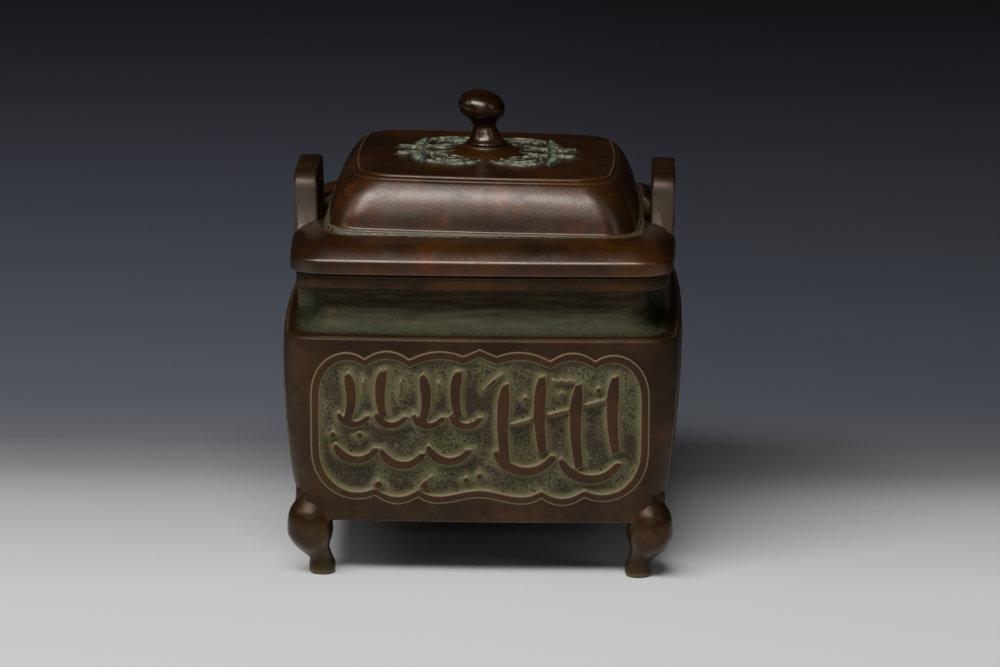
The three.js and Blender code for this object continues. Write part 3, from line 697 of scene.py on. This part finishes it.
def raised_rib(path, width, rise, base):
    """A scroll with a rounded back: cross sections along a brush stroke."""
    angle = np.linspace(0, np.pi, 7)
    across = [(np.cos(a), max(np.sin(a), 0) ** 0.7) for a in angle]
    sections = []
    for p, n, w in zip(path, across_path(path), width):
        rim = [(*(p + n * w * x), base + rise * z) for x, z in across]
        root = [(*(p - n * w), base - RIB_ROOT), (*(p + n * w), base - RIB_ROOT)]
        sections.append(np.array([*rim, *root])[::-1])
    return skin("rib", sections)


def roundel_arc(radius, start, stop, width):
    x, y = ROUNDEL_X + radius * math.cos(start), ROUNDEL_Y + radius * math.sin(start)
    turn = stop - start
    return brush(x, y, radius * turn, start + math.pi / 2, turn, width, head=0.5, tail=0.25)


def quarter_scrolls():
    """One quarter of the scrollwork: crescents, a core, a stem, a tongue and a leaf."""
    side = ROUNDEL_X + ROUNDEL_RADIUS
    out = [
        roundel_arc(ROUNDEL_RADIUS, 0.6, 2.7, SCROLL_WIDE * 0.9),
        roundel_arc(ROUNDEL_RADIUS * 0.58, 0.3, 2.9, SCROLL_WIDE * 0.8),
        brush(side + 2, 4, 22, 1.5, 0.35, SCROLL_WIDE, head=0.5),
        brush(side + 1, 3, 11, 0.9, -0.9, SCROLL_WIDE * 1.2, head=0.6),
        brush(side - 1, 4, 13, 2.2, 0.5, SCROLL_WIDE * 1.1, head=0.5),
        roundel_arc(ROUNDEL_RADIUS * 1.02, -1.5, -0.4, SCROLL_WIDE * 0.55),
        roundel_arc(ROUNDEL_RADIUS * 0.22, 0.4, 5.2, SCROLL_WIDE * 0.5),
    ]
    for i in range(3):
        out.append(brush(side - 8 + 3.4 * i, 8.5 - 1.2 * i, 2.4, 1.9, 0.4, SCROLL_WIDE * 0.5, head=0.5))
    return out


def quarter_slots():
    """One quarter of the slots that pierce the lid between the scrolls."""
    x, y = ROUNDEL_X + ROUNDEL_RADIUS * 0.68, ROUNDEL_Y - ROUNDEL_RADIUS * 0.5
    return [
        roundel_arc(ROUNDEL_RADIUS * 0.8, 0.5, 2.6, SLOT_WIDE),
        roundel_arc(ROUNDEL_RADIUS * 0.33, -0.4, 2.8, SLOT_WIDE),
        brush(x, y, 11, 1.35, 0.5, SLOT_WIDE, head=0.5),
    ]


def in_quarters(path, width, build):
    """Mirrors a stroke to the four quarters of the lid and builds each."""
    made = []
    for sx, sy in ((1, 1), (-1, 1), (-1, -1), (1, -1)):
        order = slice(None, None, -1 if sx * sy < 0 else 1)
        made.append(build((path * [sx, sy])[order], width[order]))
    return made


def lift_to_slant(piece):
    return moved(piece, slanted(points_of(piece)))


def slot_cutter(path, width):
    """A prism over a slot, whose ends are strips between the slot's two sides."""
    side = across_path(path) * width[:, None]
    outline = np.concatenate([path - side, (path + side)[::-1]])
    n = len(outline)
    low, high = PLATE_Z - SLOT_BELOW, PLATE_Z + SLOT_ABOVE
    points = np.concatenate([np.column_stack([outline, np.full(n, z)]) for z in (low, high)])
    faces = [(i, (i + 1) % n, (i + 1) % n + n, i + n) for i in range(n)]
    for i in range(n // 2 - 1):
        a, b, c, d = i, i + 1, n - 2 - i, n - 1 - i
        faces += [(a, d, c, b), (a + n, b + n, c + n, d + n)]
    return mesh_object("slot", points, np.array(faces))


def lathe(name, profile, centre_z):
    """A turned solid from a profile of (radius, height), lowest point first."""
    return circles(name, [(radius, 0, 0, z + centre_z) for radius, z in profile], TURNED_STEPS)


def boss():
    profile = smooth_line([
        (BOSS_RADIUS + 0.6, -0.6), (BOSS_RADIUS, 0.3), (BOSS_RADIUS * 0.75, 1.3), (BOSS_RADIUS * 0.62, 1.9),
        (KNOB_FOOT + 0.8, BOSS_HIGH - 0.5), (KNOB_FOOT + 0.3, BOSS_HIGH),
    ], 4)
    rows = [(4, -1.2), (BOSS_RADIUS + 0.6, -1.2), *profile, (4, BOSS_HIGH)]
    return lift_to_slant(lathe("boss", rows, PLATE_Z + PLATE_CROWN))


def lid():
    made = skin("lid_cast", lid_rings())
    half = HANDLE_WIDE / 2 + NOTCH_GAP_SIDE
    reach = HANDLE_INSIDE - NOTCH_GAP_IN
    notches = []
    for inner, outer in ((-2 * LID_HALF, -reach), (reach, 2 * LID_HALF)):
        notches.append(box_between((inner, -half, SEAT - 1), (outer, half, PLATE_Z + 5)))
    combine(made, notches, "DIFFERENCE")
    base = PLATE_Z + PLATE_CROWN * 0.85

    def rib(path, width):
        return lift_to_slant(raised_rib(path, width, SCROLL_RISE, base))

    def slot(path, width):
        return lift_to_slant(slot_cutter(path, width))

    ribs = [part for path, width in quarter_scrolls() for part in in_quarters(path, width * 0.85, rib)]
    slots = [part for path, width in quarter_slots() for part in in_quarters(path, width, slot)]
    combine(made, [boss(), *ribs], "UNION")
    combine(made, slots, "DIFFERENCE")
    return made


def knob():
    ball_z = KNOB_HIGH - KNOB_BALL_HIGH
    low = -math.acos(KNOB_WAIST / KNOB_BALL) * 0.82

    def on_ball(angle):
        return KNOB_BALL * math.cos(angle), ball_z + KNOB_BALL_HIGH * math.sin(angle)

    stem = smooth_line([
        (KNOB_FOOT - 0.2, 0.05), (KNOB_FOOT, 0.6), (KNOB_FOOT * 0.8, 2.3),
        (KNOB_WAIST * 1.12, 5.2), (KNOB_WAIST, 7.4), on_ball(low),
    ], 6)
    ball = [on_ball(angle) for angle in np.linspace(low, math.pi / 2 * 0.97, 24)[1:]]
    made = lathe("knob_cast", [(3, 0), *stem, *ball], 0)
    points = points_of(made)
    points[:, 0] -= KNOB_LEAN * points[:, 2]
    points[:, 2] += PLATE_Z + PLATE_CROWN + BOSS_HIGH + KNOB_GAP
    points = slanted(points)
    points[:, 2] = np.minimum(points[:, 2], cad_high[2] / MM)
    return moved(made, points)


# Where the patina lies, painted on the points of each piece

def paint(piece, **layers):
    for name, values in layers.items():
        made = piece.data.attributes.new(name, "FLOAT", "POINT")
        made.data.foreach_set("value", np.asarray(values, np.float32))


def between(low, high, values):
    t = ((values - low) / (high - low)).clip(0, 1)
    return t * t * (3 - 2 * t)


def peak(values, at, width):
    """A soft peak of 1 where the values reach that number."""
    return np.exp(-(((values - at) / width) ** 2))


def plan_half(x, y, corner, bow):
    """The half width of the bowed ring with round corners on which a point lies."""
    a, b = np.abs(x), np.abs(y)
    middle = (a + b - np.sqrt((2 * corner**2 - (a - b) ** 2).clip(0))) / 2
    reach = np.maximum(a, b)
    run = (reach - bow - corner).clip(1)
    flat = reach + bow * (np.minimum(a, b) / run).clip(0, 1) ** 2
    return np.where(np.abs(a - b) < corner, middle + corner + bow, flat)


def paint_vessel(piece):
    """The distance to the raised metal, and masks for verdigris, worn edges with painted highlights, painted
    sheen on the handles, and the inside.
    """
    p = points_of(piece)
    x, y, z = p.T
    front = np.abs(y) >= np.abs(x)
    u = np.where(front, np.where(y < 0, x, -x), np.where(x > 0, y, -y))
    v = z - PANEL_MIDDLE
    depth = plan_half(x, y, BODY_CORNER, BODY_BOW)
    near = (depth > wall_half(z) - 2.6) & (np.abs(v) < PANEL_HALF_HIGH + 5) & (z > UNDERSIDE + 4)
    raised, outer, inner = np.full((3, len(p)), FAR_AWAY)
    raised[near], outer[near], inner[near] = panel_distances(u[near], v[near])
    lip_foot = RIM_TOP - RIM_THICK
    outside = depth > NECK_HALF - 1.5
    cove = between(SHOULDER + 11, SHOULDER + 2, z) * between(BODY_HALF - 3.5, BODY_HALF - 6.5, depth)
    under_lip = between(lip_foot - 7, lip_foot, z) * (z < lip_foot + 0.1) * 0.4
    neck = between(SHOULDER + 0.7, SHOULDER + 2, z) * (z < lip_foot + 0.3) * outside
    inside = (depth < MOUTH_HALF + 1.2) & (z > UNDERSIDE + 2) & (z < RIM_TOP - 1)
    inside |= (depth < wall_half(z) - WALL * 0.8) & (z < SHOULDER - 1) & (z > UNDERSIDE + 2)
    # The ledge and lip lines are partly edge wear and partly painted highlight: they fade out towards the
    # corners, as a reflection along each straight side does.
    highlight_span = between(BODY_HALF * 0.95, BODY_HALF * 0.75, np.abs(u))
    ledge_wear_highlight = peak(depth, BODY_HALF - 0.9, 0.3) * (np.abs(z - SHOULDER) < 1.0) * highlight_span
    lip_wear_highlight = peak(z, RIM_TOP - 0.6, 0.35) * (depth > RIM_HALF - 2) * highlight_span
    sole_edge = peak(z, 1.2, 0.7)
    # Painted sheen: the handles' narrow faces get a greyer colour, partly handling wear and partly the
    # reflection they catch.
    narrow_face = (np.abs(y) > HANDLE_WIDE / 2 - 1.5) & (z > RIM_TOP)
    paint(
        piece,
        edge_mm=raised.clip(-4, 8),
        in_panel=(inner < BAND_WIDE / 2),
        cove=cove * outside * (z > SHOULDER + 0.2),
        neck=np.maximum(neck, under_lip),
        hoof=between(9, 3, z),
        rubbed=between(8, 13, z) * between(UNDERSIDE + 7, UNDERSIDE, z),
        wear=np.maximum.reduce([ledge_wear_highlight, lip_wear_highlight, sole_edge * 0.7]),
        handled=narrow_face * between(HANDLE_TOP - 3, HANDLE_TOP - 9, z),
        inside=inside,
    )


def paint_lid(piece):
    """The distance to the scrollwork, and masks for verdigris, worn edges with painted highlights, and the
    hollow.
    """
    p = points_of(piece)
    foot_middle = np.array([0, 0, DOME_FOOT])
    flat = (p - foot_middle) @ np.array(Matrix.Rotation(math.radians(LID_TILT), 3, "Y")) + foot_middle
    x, y, z = flat.T
    away_x, away_y = np.abs(x), np.abs(y)
    lace = np.full(len(p), FAR_AWAY)
    top = z > PLATE_Z - 4
    near = np.stack([away_x, away_y], 1)[top]
    lace[top] = np.min([stroke_distance(near, *scroll, cut=False) for scroll in quarter_scrolls()], 0)
    depth = plan_half(x, y, LID_CORNER, LID_BOW)
    climb = ((z - DOME_FOOT) / DOME_HEIGHT).clip(0)
    hidden = (depth < DOME_HALF - LID_WALL * 0.6 - DOME_IN * climb) & (z < PLATE_Z - 1.5)
    seam = peak(depth, DOME_HALF + 1.7, 0.8) * (z > DOME_FOOT - 2.5) * (z < DOME_FOOT + 1)
    # The bead and flange lines are partly edge wear and partly painted highlight: they fade out towards the
    # corners, as a reflection along each straight side does.
    highlight_span = between(LID_HALF * 0.9, LID_HALF * 0.65, np.minimum(away_x, away_y))
    bead_wear_highlight = peak(z, DOME_FOOT + 0.9, 0.3) * (depth > DOME_HALF) * highlight_span
    line = peak(depth, PLATE_HALF, 0.35) * (z > PLATE_Z) + 0.25 * peak(depth, PLATE_HALF + 1.8, 0.3) * top
    flange = peak(p[:, 2], SEAT + FLANGE_THICK + 0.4, 0.25) * (depth > LID_HALF - 2.5) * highlight_span
    leaf_tips = peak(away_x, ROUNDEL_X + ROUNDEL_RADIUS, 2.2) * between(ROUNDEL_Y - 8, ROUNDEL_Y, away_y)
    leaf_root = peak(np.hypot(away_x - ROUNDEL_X - 4, away_y - ROUNDEL_Y + 2), 0, 2.5)
    paint(
        piece,
        lace_mm=lace.clip(-4, 8),
        on_top=(z > PLATE_Z + PLATE_CROWN * 0.4) & (np.hypot(x, y) > BOSS_RADIUS - 3),
        turquoise=np.maximum(leaf_tips, leaf_root),
        seam=seam,
        wear=np.maximum.reduce([bead_wear_highlight, line, flange]),
        inside=hidden,
    )


# Finishes

def linear(code):
    """An sRGB hex colour as linear values."""
    parts = [int(code[i:i + 2], 16) / 255 for i in (1, 3, 5)]
    return tuple(c / 12.92 if c <= 0.04045 else ((c + 0.055) / 1.055) ** 2.4 for c in parts) + (1,)


def add(tree, kind, settings=None, **inputs):
    """Adds a node; inputs are values, or sockets to link from."""
    node = tree.nodes.new("ShaderNode" + kind)
    for key, value in (settings or {}).items():
        setattr(node, key, value)
    for key, value in inputs.items():
        numbered = key[0] == "i" and key[1:].isdigit()
        socket = node.inputs[int(key[1:]) if numbered else key.replace("_", " ")]
        if isinstance(value, bpy.types.NodeSocket):
            tree.links.new(value, socket)
        else:
            socket.default_value = value
    return node


# The helpers below add to the tree of the first socket they are given, its id_data


def fade(value, start, stop):
    """0 where the value is at start, 1 where it is at stop, eased between."""
    smooth = {"interpolation_type": "SMOOTHSTEP"}
    return add(value.id_data, "MapRange", smooth, Value=value, From_Min=start, From_Max=stop).outputs[0]


def mottle(place, size_mm, detail, low, high):
    """Soft patches of about that size, from 0 to 1."""
    scale = 1 / (size_mm * MM)
    cloud = add(place.id_data, "TexNoise", Vector=place, Scale=scale, Detail=detail, Roughness=0.6)
    return fade(cloud.outputs[0], low, high)


def mixed(amount, first, second):
    """A colour that goes from first to second; each is a socket or a hex value."""
    first, second = (linear(c) if isinstance(c, str) else c for c in (first, second))
    return add(amount.id_data, "Mix", {"data_type": "RGBA"}, i0=amount, i6=first, i7=second).outputs[2]


def maths(operation, a, b):
    return add(a.id_data, "Math", {"operation": operation, "use_clamp": True}, i0=a, i1=b).outputs[0]


def times(first, *others):
    """The product of masks and shares."""
    for other in others:
        first = maths("MULTIPLY", first, other)
    return first


def most(first, *others):
    """The largest of several masks."""
    for other in others:
        first = maths("MAXIMUM", first, other)
    return first


def blend_value(amount, first, second):
    """A number that goes from first to second."""
    return add(amount.id_data, "MapRange", Value=amount, To_Min=first, To_Max=second).outputs[0]


def layers(tree, *names):
    return (add(tree, "Attribute", {"attribute_name": name}).outputs["Fac"] for name in names)


def edge_line(distance, at, half_wide):
    """A thin line where the distance has that value."""
    tree = distance.id_data
    off = add(tree, "Math", {"operation": "SUBTRACT"}, i0=distance, i1=at).outputs[0]
    return fade(add(tree, "Math", {"operation": "ABSOLUTE"}, i0=off).outputs[0], half_wide, 0.0)


def start_material(name):
    made = bpy.data.materials.new(name)
    made.use_nodes = True
    tree = made.node_tree
    shader = tree.nodes["Principled BSDF"]
    place = add(tree, "TexCoord").outputs["Object"]
    return made, tree, shader, place


def brown_patina(place, size_mm, light, dark, red, red_share):
    """Waxed brown patina: light and dark clouds, small dark spots and patches where the copper shows red."""
    broad = mottle(place, size_mm, 5, 0.35, 0.68)
    spots = mottle(place, size_mm * 0.24, 6, 0.45, 0.7)
    bare = mottle(place, size_mm * 0.7, 4, 0.55, 0.72)
    colour = mixed(broad, dark, light)
    colour = mixed(times(spots, 0.45), colour, "#1d150c")
    return mixed(times(bare, red_share), colour, red), spots


def finish_shader(shader, colour, metal, rough, sheen, height, depth_mm):
    bump = add(shader.id_data, "Bump", Height=height, Strength=1.0, Distance=depth_mm * MM)
    wired = {"Base Color": colour, "Metallic": metal, "Roughness": rough, "Normal": bump.outputs[0]}
    for name, socket in wired.items():
        shader.id_data.links.new(socket, shader.inputs[name])
    shader.inputs["Specular IOR Level"].default_value = sheen


def panel_ground(place, edge, pits):
    """Pale grey-green deposit in the sunk ground: smooth by the strokes, stippled and purple-brown beyond."""
    away = fade(edge, 0.5, 2.8)
    pale = mixed(mottle(place, 14, 4, 0.35, 0.65), "#4a482f", "#56553d")
    stained = times(mottle(place, 21, 4, 0.38, 0.6), away, 0.85)
    pale = mixed(stained, pale, "#332a22")
    return mixed(times(pits, away, 0.8), pale, "#211c13")


def neck_patina(place):
    """Olive brown in level streaks, with a few reddish patches."""
    level = add(place.id_data, "Mapping", Vector=place, Scale=(0.3, 0.3, 3.0)).outputs[0]
    olive = mixed(mottle(level, 5, 5, 0.38, 0.68), "#352d20", "#504d38")
    reddish = times(mottle(place, 9, 4, 0.62, 0.74), 0.6)
    return mixed(reddish, olive, "#603f2a")


def cast_bronze_box():
    """Cast bronze under a waxed brown patina, with pale stippled verdigris in what is sunk."""
    made, tree, shader, place = start_material("waxed_brown_bronze_box")
    brown, spots = brown_patina(place, 26, "#392814", "#281b0e", "#4c2a16", 0.4)
    edge, in_panel, inside, wear, handled = layers(tree, "edge_mm", "in_panel", "inside", "wear", "handled")
    cove, hoof, neck, rubbed = layers(tree, "cove", "hoof", "neck", "rubbed")
    pits = mottle(place, 0.75, 2, 0.45, 0.6)
    powder = mottle(place, 1.3, 5, 0.32, 0.62)
    ground = times(fade(edge, -0.05, 0.35), in_panel)
    cove = times(cove, blend_value(powder, 0.45, 1.0))
    hoof = times(hoof, powder, 0.4)
    # Painted sheen, with handling wear: greyer colour on the handles' narrow faces.
    colour = mixed(times(handled, 0.6), brown, "#4f4a44")
    raised = times(fade(edge, 0.1, -0.4), 0.3)
    colour = mixed(raised, colour, "#452d1b")
    colour = mixed(times(neck, 0.85), colour, neck_patina(place))
    colour = mixed(most(cove, hoof), colour, mixed(powder, "#202516", "#333925"))
    # Pale edges: wear, and on the ledge and lip also a painted highlight.
    colour = mixed(times(wear, 0.4), colour, "#85755a")
    colour = mixed(ground, colour, panel_ground(place, edge, pits))
    line = times(edge_line(edge, -0.1, 0.5), 0.75)
    colour = mixed(line, colour, "#6f684d")
    colour = mixed(inside, colour, "#2a2119")
    dull = most(ground, cove, inside, times(neck, 0.6), times(line, 0.6))
    metal = blend_value(dull, BARE_METAL, 0.05)
    rough = maths("ADD", blend_value(dull, 0.44, 0.85), times(spots, 0.12))
    rough = maths("SUBTRACT", rough, times(most(rubbed, wear), 0.22))
    hollow = times(pits, ground, fade(edge, 0.5, 2.8))
    grain = times(mottle(place, 0.9, 3, 0.3, 0.7), 0.12)
    height = add(tree, "Math", {"operation": "SUBTRACT"}, i0=grain, i1=hollow).outputs[0]
    finish_shader(shader, colour, metal, rough, DULL_SHEEN, height, 0.16)
    return made


def cast_bronze_lid():
    """The same bronze, smoother from handling, with pale green and turquoise verdigris on the scrollwork and
    painted shade around the scrolls' feet.
    """
    made, tree, shader, place = start_material("waxed_brown_bronze_lid")
    brown, spots = brown_patina(place, 30, "#43260b", "#291807", "#602a08", 0.5)
    lace, on_top, inside = layers(tree, "lace_mm", "on_top", "inside")
    seam, wear, turquoise = layers(tree, "seam", "wear", "turquoise")
    powder = mottle(place, 1.6, 5, 0.32, 0.6)
    leaves = most(mottle(place, 2.2, 1, 0.44, 0.52), times(powder, 0.25))
    scroll = times(fade(lace, 0.15, -0.35), on_top, leaves)
    # Painted shade: near black on the lid's top, close around the foot of each scroll.
    painted_crease_shade = times(fade(lace, 1.8, 0.2), on_top)
    seam = times(seam, powder)
    # Pale edges: wear, and on the bead and flange also a painted highlight.
    colour = mixed(times(wear, 0.4), brown, "#8a7558")
    colour = mixed(times(seam, 0.7), colour, "#424a37")
    colour = mixed(painted_crease_shade, colour, "#1f1d15")
    verdigris = mixed(mottle(place, 3, 4, 0.35, 0.65), "#494834", "#6f735d")
    verdigris = mixed(times(turquoise, 0.6), verdigris, "#557b6e")
    colour = mixed(scroll, colour, verdigris)
    colour = mixed(inside, colour, "#241b15")
    dull = most(times(scroll, 0.8), seam, inside, painted_crease_shade)
    metal = blend_value(dull, BARE_METAL, 0.05)
    rough = maths("ADD", blend_value(dull, 0.33, 0.8), times(spots, 0.1))
    finish_shader(shader, colour, metal, rough, WAX_SHEEN, mottle(place, 0.9, 3, 0.3, 0.7), 0.012)
    return made


def cast_bronze_knob():
    """The same bronze, polished by fingers: the smoothest part."""
    made, tree, shader, place = start_material("handled_brown_bronze_knob")
    colour, spots = brown_patina(place, 14, "#39200c", "#241507", "#4c230b", 0.4)
    metal = blend_value(spots, BARE_METAL, BARE_METAL * 0.8)
    rough = blend_value(spots, 0.24, 0.36)
    finish_shader(shader, colour, metal, rough, WAX_SHEEN, mottle(place, 0.9, 3, 0.3, 0.7), 0.012)
    return made


# Stage, light and camera

def floor_material():
    """Matt paper with painted light on it: white in front, where the object stands, as a painted pool of
    light, then painted falloff and shade to blue grey where it runs back, and dark far in front.
    """
    made, tree, shader, place = start_material("matt_paper_sweep")
    split = add(tree, "SeparateXYZ", Vector=place)
    back = add(tree, "MapRange", Value=split.outputs[1], From_Min=-FLOOR_REACH, From_Max=FLOOR_REACH)
    ramp = add(tree, "ValToRGB", Fac=back.outputs[0])
    while len(ramp.color_ramp.elements) < len(FLOOR_TONES_AND_PAINTED_LIGHT):
        ramp.color_ramp.elements.new(0.5)
    for element, (metres, code) in zip(ramp.color_ramp.elements, FLOOR_TONES_AND_PAINTED_LIGHT):
        element.position = (metres + FLOOR_REACH) / (2 * FLOOR_REACH)
        element.color = linear(code)
    # Painted shadow: the paper is darkened to the right behind the object.
    to_right, to_back = fade(split.outputs[0], -0.08, 0.1), fade(split.outputs[1], -0.02, 0.14)
    painted_shade_share = times(to_right, to_back, 0.32)
    right = add(tree, "Mix", {"data_type": "RGBA", "blend_type": "MULTIPLY"}, i0=painted_shade_share)
    tree.links.new(ramp.outputs[0], right.inputs[6])
    right.inputs[7].default_value = linear("#a8a6a6")
    tree.links.new(right.outputs[2], shader.inputs["Base Color"])
    shader.inputs["Roughness"].default_value = 0.85
    shader.inputs["Specular IOR Level"].default_value = 0.2
    return made


def stage():
    corners = np.array([(-1, -1, 0), (1, -1, 0), (1, 1, 0), (-1, 1, 0)], float) * PAPER_REACH
    ground = mesh_object("paper_sweep", corners, np.array([(0, 1, 2, 3)]))
    ground.data.materials.append(floor_material())


def soft_light(name, place, aim, size, power):
    lamp = bpy.data.lights.new(name, "AREA")
    lamp.shape, lamp.size, lamp.size_y = "RECTANGLE", *size
    lamp.energy = power
    made = placed(name, lamp)
    made.location = place
    made.rotation_euler = (Vector(aim) - Vector(place)).to_track_quat("-Z", "Y").to_euler()


def studio():
    """A long box lamp over the front, a small one on the left, a faint one on the right, a low pale card."""
    middle = (0, 0, 0.12)
    soft_light("front_box", (-0.3, -0.84, 1.16), middle, (1.25, 0.36), 28)
    soft_light("left_box", (-1.35, -0.35, 0.95), middle, (0.4, 0.55), 2.2)
    soft_light("right_box", (1.2, -0.8, 0.8), middle, (0.5, 0.8), 1.8)
    soft_light("low_card", (0.0, -1.5, 0.42), middle, (1.5, 0.2), 1.6)
    world = bpy.data.worlds.new("studio")
    bpy.context.scene.world = world
    world.use_nodes = True
    back = world.node_tree.nodes["Background"]
    back.inputs["Color"].default_value = linear("#3a3f4c")
    back.inputs["Strength"].default_value = 0.15


def camera():
    """A long lens, as the photograph has, a little above the lid."""
    lens = bpy.data.cameras.new("camera")
    lens.sensor_width, lens.lens, lens.clip_start = 36, CAMERA_LENS, 0.01
    seen = placed("camera", lens)
    azimuth, elevation, roll = map(math.radians, (CAMERA_AZIMUTH, CAMERA_ELEVATION, CAMERA_ROLL))
    level = math.cos(elevation)
    away = Vector((math.sin(azimuth) * level, -math.cos(azimuth) * level, math.sin(elevation)))
    seen.location = Vector(CAMERA_TARGET) * MM + away * CAMERA_AWAY
    look = (-away).to_track_quat("-Z", "Y")
    seen.rotation_mode = "QUATERNION"
    seen.rotation_quaternion = look @ Euler((0, 0, roll)).to_quaternion()
    bpy.context.scene.camera = seen


def put(piece, node, material):
    piece.data.materials.clear()
    piece.data.materials.append(material)
    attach(piece, "root")
    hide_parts(node)


box_piece = vessel()
paint_vessel(box_piece)
put(box_piece, "vessel", cast_bronze_box())
lid_piece = lid()
paint_lid(lid_piece)
put(lid_piece, "lid", cast_bronze_lid())
put(knob(), "knob", cast_bronze_knob())
stage()
studio()
camera()
